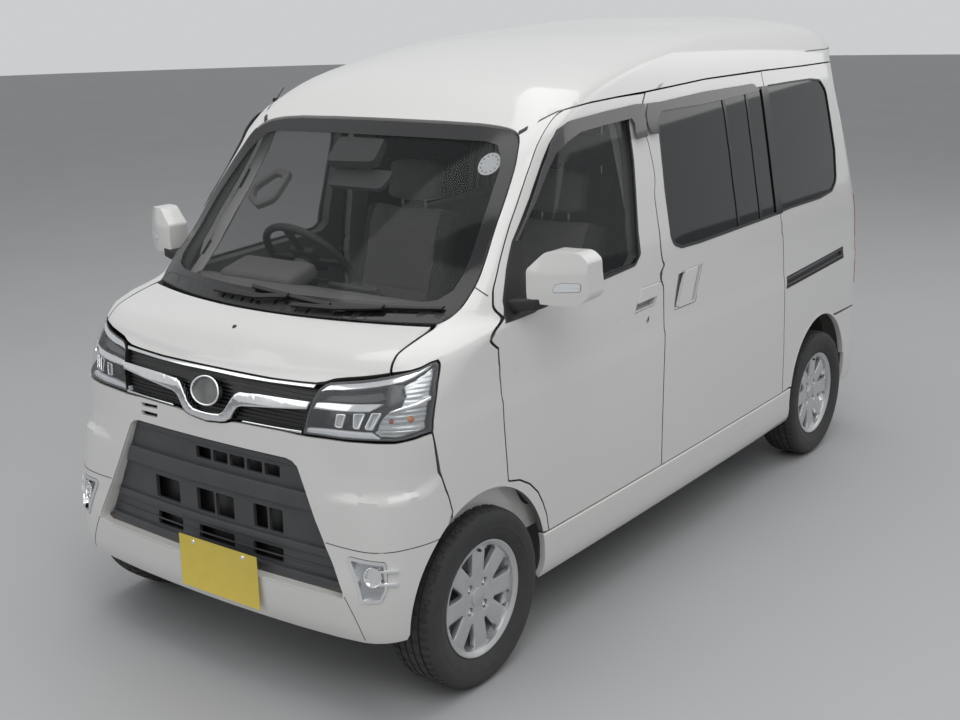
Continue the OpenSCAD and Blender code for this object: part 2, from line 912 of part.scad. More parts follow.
module steering_wheel() {
    color("black")
        steering_place() {
            rotate_extrude($fn = 64) translate([steer_r - 14, 0]) circle(14, $fn = 24);
            translate([0, 0, -29]) cylinder(r = 34, h = 30);
            translate([0, 0, -12]) cylinder(r = 62, h = 26);
            for (a = [0, 90, 180])
                rotate(a - 90) translate([50, -17, -9]) cube([steer_r - 64, 34, 15]);
        }
}

// Seats: cushion and back in one side view, and the headrest above them.
module seat_section(w, r) {
    rotate([90, 0, 0]) linear_extrude(w, center = true) rounded(r) children();
}
module seat_set(x, y, w) {
    translate([x, y, load_z + seat]) {
        seat_section(w, 36)
            polygon([
                [20, 0], [490, 0], [490, 146], [150, 138], [12, 636], [-98, 608], [22, 120]
            ]);
        seat_section(250, 30) polygon([[-78, 590], [14, 606], [-18, 776], [-112, 758]]);
    }
}
module front_seats() {
    color("slategray") for (s = [-1, 1]) seat_set(front_axle_x - 967, s * 318, 500);
}
module rear_seat() {
    color("slategray") for (s = [-1, 1]) seat_set(rear_axle_x + 336, s * 296, 580);
}

// Running gear.
module engine() {
    color("gray") translate([300, -230, 250]) cube([480, 460, load_z - floor_t - seat - 250]);
}
module fuel_tank() {
    color("dimgray")
        union() {
            translate([rear_axle_x + 762, 0, 250]) cube([560, 300, 470 - floor_t - seat - 250]);
            // silencer between the rails
            translate([217 - half_l, 0, 450])
                rotate([90, 0, 0]) cylinder(r = 75, h = 620 - 2 * seat, center = true);
        }
}
bead_r = rim_r - 14;
bead_w = 58;
module tyre(x, s) {
    w = tyre_w / 2;
    color("black")
        translate([x, s * wheel_y, tyre_r])
            rotate([90, 0, 0])
                rotate_extrude($fn = 80)
                    polygon([
                        [bead_r + seat, 0.6 - bead_w], [rim_r + 1, -bead_w - 4], [rim_r + 8, 10 - w],
                        [tyre_r - 62, -w], [tyre_r - 36, 2 - w], [tyre_r - 16, 10 - w],
                        [tyre_r - 5, 24 - w], [tyre_r, 42 - w], [tyre_r, w - 42],
                        [tyre_r - 5, w - 24], [tyre_r - 16, w - 10], [tyre_r - 36, w - 2],
                        [tyre_r - 62, w], [rim_r + 8, w - 10], [rim_r + 1, bead_w + 4],
                        [bead_r + seat, bead_w - 0.6]
                    ]);
}
module rim(x, s) {
    color("silver")
        translate([x, s * wheel_y, tyre_r])
            rotate([-90 * s, 0, 0])
                difference() {
                    rotate_extrude($fn = 64)
                        polygon([
                            [hub_bore_r, -20], [112, -20], [112, -10], [62, -8], [62, 24],
                            [bead_r - 14, 40], [bead_r - 6, 34], [bead_r - 6, -6 - bead_w],
                            [rim_r, -10 - bead_w], [rim_r, -5 - bead_w], [bead_r, -bead_w],
                            [bead_r, bead_w], [rim_r, bead_w + 5], [rim_r, bead_w + 10],
                            [bead_r - 4, bead_w + 8], [bead_r - 12, bead_w], [62, 46], [0, 44],
                            [0, 30], [hub_bore_r, 28]
                        ]);
                    for (i = [0:spokes - 1])
                        rotate(360 * (i + 0.5) / spokes)
                            translate([0, 0, 10])
                                linear_extrude(80)
                                    polygon([[78, 0], [bead_r - 18, -30], [bead_r - 18, 30]]);
                    for (i = [0:3])
                        rotate(90 * i)
                            translate([nut_pcd / 2, 0, 34])
                                cylinder(r = nut_pocket_r, h = 60);
                }
}
king_y = wheel_y - king_offset;
ball_z = tyre_r - 102;
module front_suspension() {
    color("gray")
        union() {
            translate([front_axle_x - 55, -370, 250]) cube([110, 740, rail_z - 250 - seat]);
            for (s = [-1, 1]) {
                translate([front_axle_x - 18, s * (king_y + 256) / 2 - (king_y - 228) / 2, ball_z - 20])
                    cube([36, king_y - 228, 20 - seat]);
                translate([front_axle_x - 40, s * 275 - 30, ball_z - 20])
                    cube([80, 60, 250 - ball_z + 30]);
            }
        }
}
module knuckle(s) {
    color("dimgray")
        translate([front_axle_x, s * king_y, tyre_r])
            mirror([0, s < 0 ? 1 : 0, 0])
                union() {
                    // spindle in the hub's bore
                    translate([0, 10, 0])
                        rotate([-90, 0, 0])
                            cylinder(r = hub_bore_r - running, h = king_offset + 12);
                    translate([-38, -30, -84]) cube([76, 50, 180]);
                    // ball joint
                    translate([0, 0, ball_z - tyre_r]) cylinder(r = 14, h = 30);
                    // strut
                    translate([-25, -100, 50]) cube([50, 74, 44]);
                    translate([0, -84, 70]) cylinder(r = 24, h = 225);
                }
}
module knuckle_left() {
    knuckle(1);
}
module knuckle_right() {
    knuckle(-1);
}
module rear_axle() {
    color("dimgray")
        union() {
            translate([rear_axle_x, 0, tyre_r])
                rotate([90, 0, 0])
                    cylinder(r = 38, h = 2 * (wheel_y - 24), center = true);
            translate([rear_axle_x, 0, tyre_r])
                rotate([90, 0, 0])
                    cylinder(r = hub_bore_r - running, h = 2 * (wheel_y + 20), center = true);
            translate([rear_axle_x, 0, tyre_r])
                rotate([0, 90, 0])
                    cylinder(r = 92, h = 170, center = true);
            // springs below the rails
            for (s = [-1, 1])
                translate([rear_axle_x, s * 340, tyre_r]) cylinder(r = 42, h = 420 - seat - tyre_r);
        }
}
module tow_plate(x, y, z1, z2) {
    difference() {
        union() {
            translate([x - 30, y - 7, z1]) cube([60, 14, z2 - z1]);
            translate([x, y + 7, z1]) rotate([90, 0, 0]) cylinder(r = 30, h = 14);
        }
        translate([x, y + 10, z1]) rotate([90, 0, 0]) cylinder(r = 12, h = 20);
    }
}
module tow_eyes() {
    color("dimgray") {
        tow_plate(half_l - 135.5, -340, 225, rail_z - seat);
        tow_plate(141.5 - half_l, 340, 205, 420 - seat);
    }
}

roof();
body_side_left();
body_side_right();
floor();
wheel_wells();
firewall();
front_bumper();
bumper_grille();
upper_grille();
headlamps();
fog_lamps();
cowl();
windscreen();
side_glass();
rear_bumper();
tail_lamps();
side_skirts();
dashboard();
front_seats();
rear_seat();
engine();
fuel_tank();
front_suspension();
rear_axle();
tow_eyes();
knuckle_left();
knuckle_right();
tyre(front_axle_x, 1);  // tyre_front_left
tyre(front_axle_x, -1);  // tyre_front_right
tyre(rear_axle_x, 1);  // tyre_rear_left
tyre(rear_axle_x, -1);  // tyre_rear_right
rim(front_axle_x, 1);  // rim_front_left
rim(front_axle_x, -1);  // rim_front_right
rim(rear_axle_x, 1);  // rim_rear_left
rim(rear_axle_x, -1);  // rim_rear_right
front_door_left();
front_door_right();
front_door_glass_left();
front_door_glass_right();
mirror_left();
mirror_right();
sliding_doors();
tailgate();
tailgate_glass();
bonnet();
fuel_lid();
steering_wheel();
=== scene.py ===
import math
import bpy
import bmesh
import numpy as np
from mathutils import Matrix, Vector


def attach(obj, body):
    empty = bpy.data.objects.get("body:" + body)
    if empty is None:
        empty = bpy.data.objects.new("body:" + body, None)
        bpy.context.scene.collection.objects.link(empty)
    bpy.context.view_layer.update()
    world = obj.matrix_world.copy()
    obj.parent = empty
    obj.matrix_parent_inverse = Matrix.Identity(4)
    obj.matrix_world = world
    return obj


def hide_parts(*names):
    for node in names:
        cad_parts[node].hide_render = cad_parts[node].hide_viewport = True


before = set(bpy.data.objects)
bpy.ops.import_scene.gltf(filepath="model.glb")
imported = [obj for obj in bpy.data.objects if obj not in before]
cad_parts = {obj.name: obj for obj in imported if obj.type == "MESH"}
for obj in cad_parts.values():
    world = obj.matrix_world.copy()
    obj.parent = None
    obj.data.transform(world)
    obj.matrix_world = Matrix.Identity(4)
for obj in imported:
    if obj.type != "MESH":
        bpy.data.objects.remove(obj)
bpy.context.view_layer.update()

print("stage: frame loaded")

# Main sizes in millimetres.
van = {"length": 3395, "width": 1475, "height": 1875, "frontAxle": 1277.5, "rearAxle": -1172.5, "track": 1292}
halfL, halfW, bodyH = van["length"] / 2, van["width"] / 2, van["height"]
frontX, rearX = van["frontAxle"], van["rearAxle"]

# Each line gives, against height, how far the body lies inside its length or width.
# They are the lines of the solids, with a slimmer shoulder above the gutter.
bodyLines = {
    "front": [[150, 80], [200, 32], [235, 12], [300, 3], [380, 0], [480, 12], [600, 24],
              [720, 38], [818, 48], [883, 57], [948, 84], [996, 120], [1034, 156], [1064, 212],
              [1090, 286], [1108, 308], [1342, 574], [1594, 912], [1634, 966], [1690, 1050],
              [1760, 1240], [1820, 1560], [1855, 2000], [1875, 2300]],
    "rear": [[150, 70], [215, 18], [260, 4], [330, 0], [520, 0], [600, 14], [650, 27],
             [1000, 38], [1150, 50], [1400, 84], [1600, 114], [1690, 104], [1732, 66],
             [1770, 70], [1820, 140], [1850, 300], [1868, 560], [1875, 900]],
    "side": [[150, 110], [200, 50], [225, 26], [260, 12], [370, 6], [500, 5], [700, 2],
             [850, 0], [868, 4], [1000, 6], [1092, 14], [1300, 46], [1500, 80], [1606, 99],
             [1690, 117], [1712, 123], [1770, 152], [1810, 194], [1835, 250], [1855, 336],
             [1868, 460], [1875, 610]],
    "cornerX": [[150, 170], [450, 160], [700, 190], [900, 220], [1034, 215], [1090, 200],
                [1200, 240], [1350, 240], [1480, 160], [1594, 84], [1640, 130], [1690, 200], [1780, 370],
                [1845, 500], [1875, 60]],
    "cornerY": [[150, 140], [450, 140], [700, 200], [900, 270], [1034, 240], [1090, 150],
                [1200, 100], [1350, 100], [1594, 104], [1640, 138], [1690, 196], [1780, 310], [1845, 310],
                [1875, 60]],
    "rearCorner": [[150, 120], [640, 110], [1100, 120], [1600, 135], [1740, 160],
                   [1845, 250], [1875, 40]],
    "frontBow": [[150, 45], [450, 50], [900, 45], [1034, 70], [1090, 190], [1200, 185],
                 [1350, 122], [1480, 52], [1550, 12], [1594, 8], [1690, 30], [1845, 160], [1875, 40]],
    "rearBow": [[150, 30], [600, 30], [1100, 45], [1600, 60], [1740, 70], [1875, 20]],
}
girth = [0.0, 0.5, 0.8, 3.8, 4.0, 4.6]  # knots of u: nose middle, corner, side, corner, tail middle


def slopes(points):
    p = np.array(points, float)
    d = np.diff(p[:, 1]) / np.diff(p[:, 0])
    m = np.concatenate([d[:1], np.zeros(len(d) - 1), d[-1:]])
    both = d[:-1] * d[1:]
    total = np.where(np.abs(d[:-1] + d[1:]) < 1e-9, 1, d[:-1] + d[1:])
    m[1:-1] = np.where(both <= 0, 0, 2 * both / total)
    return p[:, 0], p[:, 1], m


bodyLines = {name: slopes(points) for name, points in bodyLines.items()}


def line(name, z):
    zs, vs, ms = bodyLines[name]
    i = np.clip(np.searchsorted(zs, z) - 1, 0, len(zs) - 2)
    h = zs[i + 1] - zs[i]
    t = np.clip((z - zs[i]) / h, 0, 1)
    return (vs[i] * (2 * t**3 - 3 * t**2 + 1) + ms[i] * h * (t**3 - 2 * t**2 + t)
            + vs[i + 1] * (3 * t**2 - 2 * t**3) + ms[i + 1] * h * (t**3 - t**2))


def bodyAt(u, z):
    # u metres round the van from the nose, z in millimetres
    u, z = np.broadcast_arrays(np.asarray(u, float), np.asarray(z, float))
    sign = np.where(u < 0, -1.0, 1.0)
    u = np.abs(u)
    sign = np.where(u > girth[-1], -sign, sign)
    u = np.where(u > girth[-1], 2 * girth[-1] - u, u)
    s = np.interp(u, girth, range(6))
    z = np.clip(z, 150, bodyH)
    f, r = halfL - line("front", z), -halfL + line("rear", z)
    w = halfW - line("side", z)
    fx, fy = line("cornerX", z), np.minimum(line("cornerY", z), 0.8 * w)
    rc = np.minimum(line("rearCorner", z), 0.7 * w)
    fb, rb = line("frontBow", z), line("rearBow", z)
    e = 2 / 2.3
    a = np.clip(s - 1, 0, 1) * math.pi / 2
    yFront = np.clip(s, 0, 1) * (w - fy) + fy * np.sin(a) ** e
    xFront = f - fb * (yFront / w) ** 2 - fx * (1 - np.clip(np.cos(a), 0, 1) ** e)
    b = (1 - np.clip(s - 3, 0, 1)) * math.pi / 2
    yRear = (w - rc) * (1 - np.clip(s - 4, 0, 1)) + rc * np.sin(b) ** e
    xRear = r + rb * (yRear / w) ** 2 + rc * (1 - np.clip(np.cos(b), 0, 1) ** e)
    t = np.clip(s - 2, 0, 1)
    xSide = (f - fb - fx) * (1 - t) + (r + rb + rc) * t
    x = np.where(s < 2, xFront, np.where(s > 3, xRear, xSide))
    y = np.where(s < 2, yFront, np.where(s > 3, yRear, w))
    y = y - 12 * (x / 1300) ** 2 * y / w
    return np.stack([x, sign * y, z], -1)


def findU(view, a, z):
    # u of a point seen from the side (a is x), the front or the rear (a is y)
    a, z = np.asarray(a, float), np.asarray(z, float)
    low, high = {"side": (0.0, 4.6), "front": (0.0, 0.8), "rear": (3.8, 4.6)}[view]
    axis, falls = (0, True) if view == "side" else (1, view == "rear")
    target = a if view == "side" else np.abs(a)
    lo, hi = np.full(a.shape, low), np.full(a.shape, high)
    for _ in range(40):
        mid = (lo + hi) / 2
        value = bodyAt(mid, z)[..., axis]
        further = (value > target) if falls else (value < target)
        lo, hi = np.where(further, mid, lo), np.where(further, hi, mid)
    u = (lo + hi) / 2
    if view == "front":
        return np.where(a < 0, -u, u)
    return np.where(a < 0, 2 * girth[-1] - u, u) if view == "rear" else u


def dense(points, step=22, closed=False):
    out = []
    ends = points[1:] + points[:1] if closed else points[1:]
    for p, q in zip(points, ends):
        n = max(1, math.ceil(math.dist(p, q) / step))
        out += [(p[0] + (q[0] - p[0]) * i / n, p[1] + (q[1] - p[1]) * i / n) for i in range(n)]
    return out if closed else out + [points[-1]]


def seen(view, points, step=22, closed=False):
    p = np.array(dense(points, step, closed))
    return list(zip(findU(view, p[:, 0], p[:, 1]).tolist(), (p[:, 1] / 1000).tolist()))


def rounded(points, radius, closed=True, n=5):
    # corners cut by arcs; radius is one number or one for each corner
    out, count = [], len(points)
    for i, p in enumerate(points):
        r = radius[i] if isinstance(radius, (list, tuple)) else radius
        if r <= 0 or (not closed and i in (0, count - 1)):
            out.append(tuple(p))
            continue
        p = Vector(p)
        a, b = Vector(points[i - 1]) - p, Vector(points[(i + 1) % count]) - p
        half = a.angle(b) / 2
        reach = min(r / math.tan(half), a.length * 0.45, b.length * 0.45)
        a, b = p + a.normalized() * reach, p + b.normalized() * reach
        for k in range(n + 1):
            t = k / n
            q = a * (1 - t) ** 2 + p * 2 * t * (1 - t) + b * t * t
            out.append((q.x, q.y))
    return out


def grown(points, d):
    # closed outline moved outwards by d
    area = sum(p[0] * q[1] - q[0] * p[1] for p, q in zip(points, points[1:] + points[:1]))
    d = d if area > 0 else -d
    out = []
    for i, p in enumerate(points):
        a, b = Vector(p) - Vector(points[i - 1]), Vector(points[(i + 1) % len(points)]) - Vector(p)
        if a.length < 1e-6 or b.length < 1e-6:
            continue
        na, nb = Vector((a.y, -a.x)).normalized(), Vector((b.y, -b.x)).normalized()
        mid = (na + nb).normalized()
        shift = mid * (d / max(0.5, mid.dot(na)))
        out.append((p[0] + shift.x, p[1] + shift.y))
    return out


def arc(cx, cz, r, start, end, n=24):
    return [(cx + r * math.cos(math.radians(start + (end - start) * i / n)),
             cz + r * math.sin(math.radians(start + (end - start) * i / n))) for i in range(n + 1)]


def turned(points):
    # the same outline on the van's right side
    return [(-u, z) for u, z in points]


def wrap(bm, relief=None):
    # lay a flat mesh (u, z, height) on the body
    flat = np.array([v.co for v in bm.verts], float).reshape(-1, 3)
    u, z, h = flat[:, 0], flat[:, 1] * 1000, flat[:, 2] * 1000
    if relief:
        h = h + relief(u, z)
    du, dz = 1e-3, 1.0
    along = bodyAt(u + du, z) - bodyAt(u - du, z)
    up = (bodyAt(u, np.minimum(z + dz, bodyH)) - bodyAt(u, np.maximum(z - dz, 150)))
    normal = np.cross(along, up)
    normal /= np.maximum(np.linalg.norm(normal, axis=1, keepdims=True), 1e-12)
    place = (bodyAt(u, z) + normal * h[:, None]) / 1000
    for v, p in zip(bm.verts, place):
        v.co = p


def flatPanel(outline, holes=(), depth=0.02, top=0.0, bevel=0.002, segments=2):
    # a flat plate with holes; slot 0 outside, slot 1 its back faces, slot 2 its edges
    bm = bmesh.new()
    edges = []
    for loop in [outline, *holes]:
        clean = [p for i, p in enumerate(loop) if math.dist(p, loop[i - 1]) > 2e-5]
        vs = [bm.verts.new((p[0], p[1], top)) for p in clean]
        edges += [bm.edges.new((vs[i - 1], vs[i])) for i in range(len(vs))]
    bmesh.ops.triangle_fill(bm, use_beauty=True, use_dissolve=False, edges=edges,
                            normal=(0, 0, 1))
    if depth:
        made = bmesh.ops.extrude_face_region(bm, geom=bm.faces[:])
        bmesh.ops.translate(bm, vec=(0, 0, -depth),
                            verts=[g for g in made["geom"] if isinstance(g, bmesh.types.BMVert)])
        bmesh.ops.recalc_face_normals(bm, faces=bm.faces[:])
        for f in bm.faces:
            heights = [v.co.z for v in f.verts]
            f.material_index = 0 if min(heights) > top - 1e-6 else 1 if max(heights) < top - 1e-6 else 2
        if bevel:
            rim = [e for e in bm.edges if len(e.link_faces) == 2
                   and {f.material_index for f in e.link_faces} == {0, 2}]
            bmesh.ops.bevel(bm, geom=rim, offset=bevel, offset_type="OFFSET", segments=segments,
                            profile=0.5, affect="EDGES", clamp_overlap=True, material=0)
    return bm


def gridCut(bm, uStep=0.03, zStep=0.03, zLines=None):
    # cut a flat plate into a fine grid, and join what the fill had split
    mark = bm.edges.layers.int.new("fill")
    for e in bm.edges:
        if len(e.link_faces) == 2 and all(abs(f.normal.z) > 0.999 for f in e.link_faces):
            e[mark] = 1
    us = [v.co.x for v in bm.verts]
    zs = [v.co.y for v in bm.verts]
    uLines = [k * uStep for k in range(math.ceil(min(us) / uStep), math.ceil(max(us) / uStep))]
    zLines = zLines or [k * zStep for k in range(math.ceil(min(zs) / zStep), math.ceil(max(zs) / zStep))]
    for axis, cuts in ((0, uLines), (1, zLines)):
        for c in cuts:
            co, no = [0, 0, 0], [0, 0, 0]
            co[axis], no[axis] = c + 1e-5, 1
            bmesh.ops.bisect_plane(bm, geom=bm.verts[:] + bm.edges[:] + bm.faces[:],
                                   dist=4e-5, plane_co=co, plane_no=no)
    bmesh.ops.dissolve_edges(bm, edges=[e for e in bm.edges if e[mark] and len(e.link_faces) == 2],
                             use_verts=False)
    loose = [v for v in bm.verts if len(v.link_edges) == 2 and not v.is_boundary]
    if loose:
        bmesh.ops.dissolve_verts(bm, verts=loose)
    return bm


pieces = {}


def addMesh(name, bm, body, mats, smooth=35, weighted=False, stands=()):
    mesh = bpy.data.meshes.new(name)
    bm.to_mesh(mesh)
    bm.free()
    for m in mats if isinstance(mats, (list, tuple)) else [mats]:
        mesh.materials.append(m)
    mesh.polygons.foreach_set("use_smooth", [True] * len(mesh.polygons))
    if smooth < 180:
        mesh.set_sharp_from_angle(angle=math.radians(smooth))
    piece = bpy.data.objects.new(name, mesh)
    bpy.context.collection.objects.link(piece)
    if weighted:
        piece.modifiers.new("weights", "WEIGHTED_NORMAL").keep_sharp = True
    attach(piece, body)
    if stands:
        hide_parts(*stands)
    pieces[name] = piece
    return piece


def panel(name, outline, holes, body, mats, depth=0.02, top=0.0, bevel=0.002, step=0.03,
          zStep=None, zLines=None, relief=None, stands=(), smooth=35):
    bm = flatPanel(outline, holes, depth, top, bevel)
    gridCut(bm, step, zStep or step, zLines)
    wrap(bm, relief)
    return addMesh(name, bm, body, mats, smooth, True, stands)


# Materials.
def finish(name, colour, rough=0.4, metal=0.0, vary=0.05, size=5.0, grain=0.0, grainSize=300.0,
           lowTint=0.0, **sockets):
    mat = bpy.data.materials.new(name)
    mat.use_nodes = True
    nodes, links = mat.node_tree.nodes, mat.node_tree.links
    shader = nodes["Principled BSDF"]
    coords = nodes.new("ShaderNodeTexCoord")

    def noise(scale, detail):
        tex = nodes.new("ShaderNodeTexNoise")
        tex.inputs["Scale"].default_value = scale
        tex.inputs["Detail"].default_value = detail
        links.new(coords.outputs["Object"], tex.inputs["Vector"])
        return tex

    broad = noise(size, 5.0)
    ramp = nodes.new("ShaderNodeValToRGB")
    ramp.color_ramp.elements[0].position, ramp.color_ramp.elements[1].position = 0.3, 0.7
    ramp.color_ramp.elements[0].color = [c * (1 - vary) for c in colour] + [1]
    ramp.color_ramp.elements[1].color = [min(1, c * (1 + vary)) for c in colour] + [1]
    links.new(broad.outputs["Fac"], ramp.inputs["Fac"])
    tint = ramp.outputs["Color"]
    if lowTint:
        # darker and browner below 0.75 m, most at the ground
        place = nodes.new("ShaderNodeSeparateXYZ")
        links.new(coords.outputs["Object"], place.inputs["Vector"])
        height = nodes.new("ShaderNodeMapRange")
        height.inputs["From Min"].default_value, height.inputs["From Max"].default_value = 0.75, 0.2
        height.inputs["To Min"].default_value, height.inputs["To Max"].default_value = 0.0, lowTint
        links.new(place.outputs["Z"], height.inputs["Value"])
        mix = nodes.new("ShaderNodeMix")
        mix.data_type = "RGBA"
        mix.inputs["B"].default_value = (0.33, 0.30, 0.26, 1)
        links.new(height.outputs["Result"], mix.inputs["Factor"])
        links.new(tint, mix.inputs["A"])
        tint = mix.outputs["Result"]
    links.new(tint, shader.inputs["Base Color"])
    spread = nodes.new("ShaderNodeMapRange")
    spread.inputs["To Min"].default_value = max(0.02, rough * 0.82)
    spread.inputs["To Max"].default_value = min(1, rough * 1.18)
    links.new(noise(size * 4, 3.0).outputs["Fac"], spread.inputs["Value"])
    links.new(spread.outputs["Result"], shader.inputs["Roughness"])
    shader.inputs["Metallic"].default_value = metal
    for socket, value in sockets.items():
        shader.inputs[socket.replace("_", " ")].default_value = value
    if grain:
        bump = nodes.new("ShaderNodeBump")
        bump.inputs["Strength"].default_value = grain
        bump.inputs["Distance"].default_value = 0.001
        links.new(noise(grainSize, 2.0).outputs["Fac"], bump.inputs["Height"])
        links.new(bump.outputs["Normal"], shader.inputs["Normal"])
    return mat


def clear(name, colour, alpha, rough=0.04, vary=0.05):
    mat = finish(name, colour, rough, 0.0, vary, 3.0, Alpha=alpha, IOR=1.5)
    mat.surface_render_method = "DITHERED"
    return mat


paint = finish("whitePaint", (0.77, 0.765, 0.735), 0.3, 0, 0.012, 1.6, 0.025, 900, lowTint=0.12,
               Coat_Weight=0.9, Coat_Roughness=0.06)
# the white paint made darker for inward faces and recesses: painted shade
insideShade = finish("paintInsideShade", (0.62, 0.615, 0.59), 0.5, 0, 0.03, 8)
bowlShade = finish("bowlShade", (0.40, 0.395, 0.38), 0.6, 0, 0.04, 10)
black = finish("blackTrim", (0.018, 0.018, 0.019), 0.42, 0, 0.15, 20, 0.12, 700)
gloss = finish("blackGloss", (0.012, 0.012, 0.013), 0.12, 0, 0.1, 6)
greyPlastic = finish("greyPlastic", (0.062, 0.064, 0.068), 0.5, 0, 0.08, 14, 0.15, 900)
chrome = finish("chrome", (0.82, 0.83, 0.84), 0.09, 1.0, 0.03, 30)
mirrorMetal = finish("reflector", (0.86, 0.87, 0.88), 0.12, 1.0, 0.03, 40)
chassis = finish("underbody", (0.035, 0.034, 0.033), 0.7, 0, 0.25, 18, 0.3, 160, lowTint=0.35)
rubber = finish("rubber", (0.022, 0.022, 0.022), 0.72, 0, 0.12, 40, 0.2, 900)
tyreRubber = finish("tyreRubber", (0.030, 0.031, 0.033), 0.8, 0, 0.16, 22, 0.25, 700, lowTint=0.06)
alloy = finish("alloy", (0.60, 0.61, 0.62), 0.3, 0.75, 0.03, 24, 0.03, 1200, lowTint=0.1)
discMetal = finish("brakeDisc", (0.36, 0.35, 0.34), 0.38, 0.9, 0.12, 60)
castMetal = finish("castMetal", (0.20, 0.20, 0.20), 0.6, 0.6, 0.2, 25, 0.3, 300)
privacy = clear("privacyGlass", (0.012, 0.013, 0.014), 0.95)
frontGlass = clear("doorGlass", (0.045, 0.052, 0.052), 0.28)
screenGlass = clear("screenGlass", (0.045, 0.052, 0.052), 0.15)
visorPlastic = clear("smokedVisor", (0.10, 0.096, 0.10), 0.86, 0.10)
gapShade = finish("gapShade", (0.16, 0.158, 0.15), 0.6, 0, 0.05, 12)
lensClear = clear("lampLens", (0.70, 0.73, 0.75), 0.07, 0.03)
turnClear = finish("turnReflector", (0.50, 0.52, 0.53), 0.22, 0.75, 0.05, 60)
satin = finish("satinMetal", (0.45, 0.46, 0.47), 0.28, 0.85, 0.05, 40)
lensRed = finish("lensRed", (0.36, 0.012, 0.012), 0.12, 0, 0.08, 30, Coat_Weight=0.8)
lensAmber = finish("lensAmber", (0.62, 0.20, 0.03), 0.14, 0, 0.08, 30, Coat_Weight=0.8)
lampWhite = finish("lampWhite", (0.78, 0.80, 0.82), 0.2, 0.1, 0.03, 60)
trimGrey = finish("cabinGrey", (0.16, 0.155, 0.15), 0.62, 0, 0.07, 12, 0.15, 700)
trimDark = finish("cabinDark", (0.045, 0.044, 0.044), 0.6, 0, 0.08, 12, 0.15, 700)
headliner = finish("headliner", (0.50, 0.49, 0.47), 0.95, 0, 0.03, 30, 0.2, 900)
cloth = finish("seatCloth", (0.25, 0.24, 0.22), 0.95, 0, 0.06, 60, 0.2, 700)
clothDark = finish("seatClothDark", (0.10, 0.098, 0.094), 0.95, 0, 0.06, 60, 0.2, 700)
carpet = finish("carpet", (0.05, 0.048, 0.046), 0.98, 0, 0.2, 150, 0.6, 600)
plateYellow = finish("plateYellow", (0.80, 0.62, 0.10), 0.42, 0, 0.03, 20)
stickerPale = finish("stickerPale", (0.72, 0.74, 0.75), 0.4, 0, 0.03, 30)
print("stage: materials made")

nodeMats = {"floor": carpet, "wheel_wells": chassis, "firewall": chassis, "engine": castMetal,
            "fuel_tank": chassis, "front_suspension": chassis, "rear_axle": chassis,
            "tow_eyes": chassis, "knuckle_left": castMetal, "knuckle_right": castMetal}
for node, mat in nodeMats.items():
    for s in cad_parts[node].material_slots:
        s.material = mat


# Seams of the body as (u, z), left side, from the nose to the tail.
def mm(points):
    return [(u, z / 1000) for u, z in points]


def eased(points, step=0.014):
    # the same open line in short even steps, its corners a little rounded
    p = np.array(points)
    for _ in range(2):
        q = [p[0]]
        for a, b in zip(p[:-1], p[1:]):
            q += [a * 0.75 + b * 0.25, a * 0.25 + b * 0.75]
        p = np.array(q + [p[-1]])
    return dense([tuple(x) for x in p], step)


def both(half):
    # a closed outline from its left half, given from the top middle to the bottom middle
    flip = 0.0 if half[0][0] < 1 else 2 * girth[-1]
    other = [(flip - u, z) for u, z in half[::-1]]
    return half + [p for p in other if math.dist(p, half[0]) > 1e-4 and math.dist(p, half[-1]) > 1e-4]


bonnetSeam = mm([(0.594, 997), (0.589, 1005), (0.583, 1020), (0.580, 1033), (0.576, 1043),
                 (0.571, 1050), (0.564, 1058), (0.552, 1067), (0.540, 1076), (0.522, 1083)])
lampTop = mm([(0.450, 948), (0.462, 960), (0.478, 967), (0.511, 974), (0.557, 984),
              (0.594, 993), (0.632, 1002), (0.651, 1008), (0.668, 1018)])
lampOuter = mm([(0.682, 1022), (0.695, 1013), (0.708, 986), (0.726, 937), (0.730, 885), (0.726, 842)])
lampLow = mm([(0.708, 839), (0.684, 833), (0.660, 828), (0.638, 826), (0.605, 827), (0.561, 827),
              (0.517, 824), (0.459, 822), (0.392, 819)])
lampInner = mm([(0.426, 875), (0.437, 910), (0.444, 929)])
screenEdge = mm([(0.521, 1084), (0.538, 1099), (0.545, 1122), (0.537, 1153), (0.531, 1201),
                 (0.534, 1277), (0.541, 1355), (0.544, 1433), (0.541, 1486), (0.528, 1539),
                 (0.505, 1562), (0.478, 1576), (0.430, 1584), (0.350, 1589)])
pillarSeam = mm([(0.690, 1632), (0.660, 1619), (0.644, 1593), (0.634, 1553), (0.612, 1485),
                 (0.601, 1405), (0.592, 1314), (0.588, 1249), (0.592, 1211), (0.606, 1166),
                 (0.626, 1143), (0.656, 1110)])
doorEdge = seen("side", [(1191, 1066), (1191, 1010), (1179, 796), (1158, 604)], 60)
gutterLine = mm([(0.500, 1572), (0.575, 1603), (0.654, 1626), (0.720, 1636), (0.807, 1644),
                 (1.058, 1650), (1.316, 1654), (1.955, 1670), (2.736, 1673), (3.347, 1671),
                 (3.826, 1672)])
archDoor = seen("side", [(1151, 600), (1101, 588), (1049, 559), (1007, 520), (981, 478),
                         (959, 428), (948, 373)], 60)
archFront = seen("side", arc(frontX, 300, 306, -4, 184, 60), 500)
archRear = seen("side", arc(rearX, 324, 306, -14, 194, 60), 500)
bumperSeam = mm([(0.727, 838), (0.744, 780), (0.761, 725), (0.790, 667), (0.832, 594)])
seamB = mm([(1.323, 1652), (1.441, 1599), (1.495, 1500)]) + seen(
    "side", [(242, 1330), (245, 1171), (246, 1037), (243, 861), (243, 373)], 60)
seamC = seen("side", [(-708, 1672), (-714, 1500), (-722, 1150), (-752, 860), (-782, 560),
                      (-788, 373)], 60)
roofRearZ = [1672, 1690, 1710, 1730, 1750, 1770, 1790, 1805, 1818, 1827, 1831]
roofRear = seen("side", [(-1493, z) for z in roofRearZ], 900) + [(4.6, 1.832)]
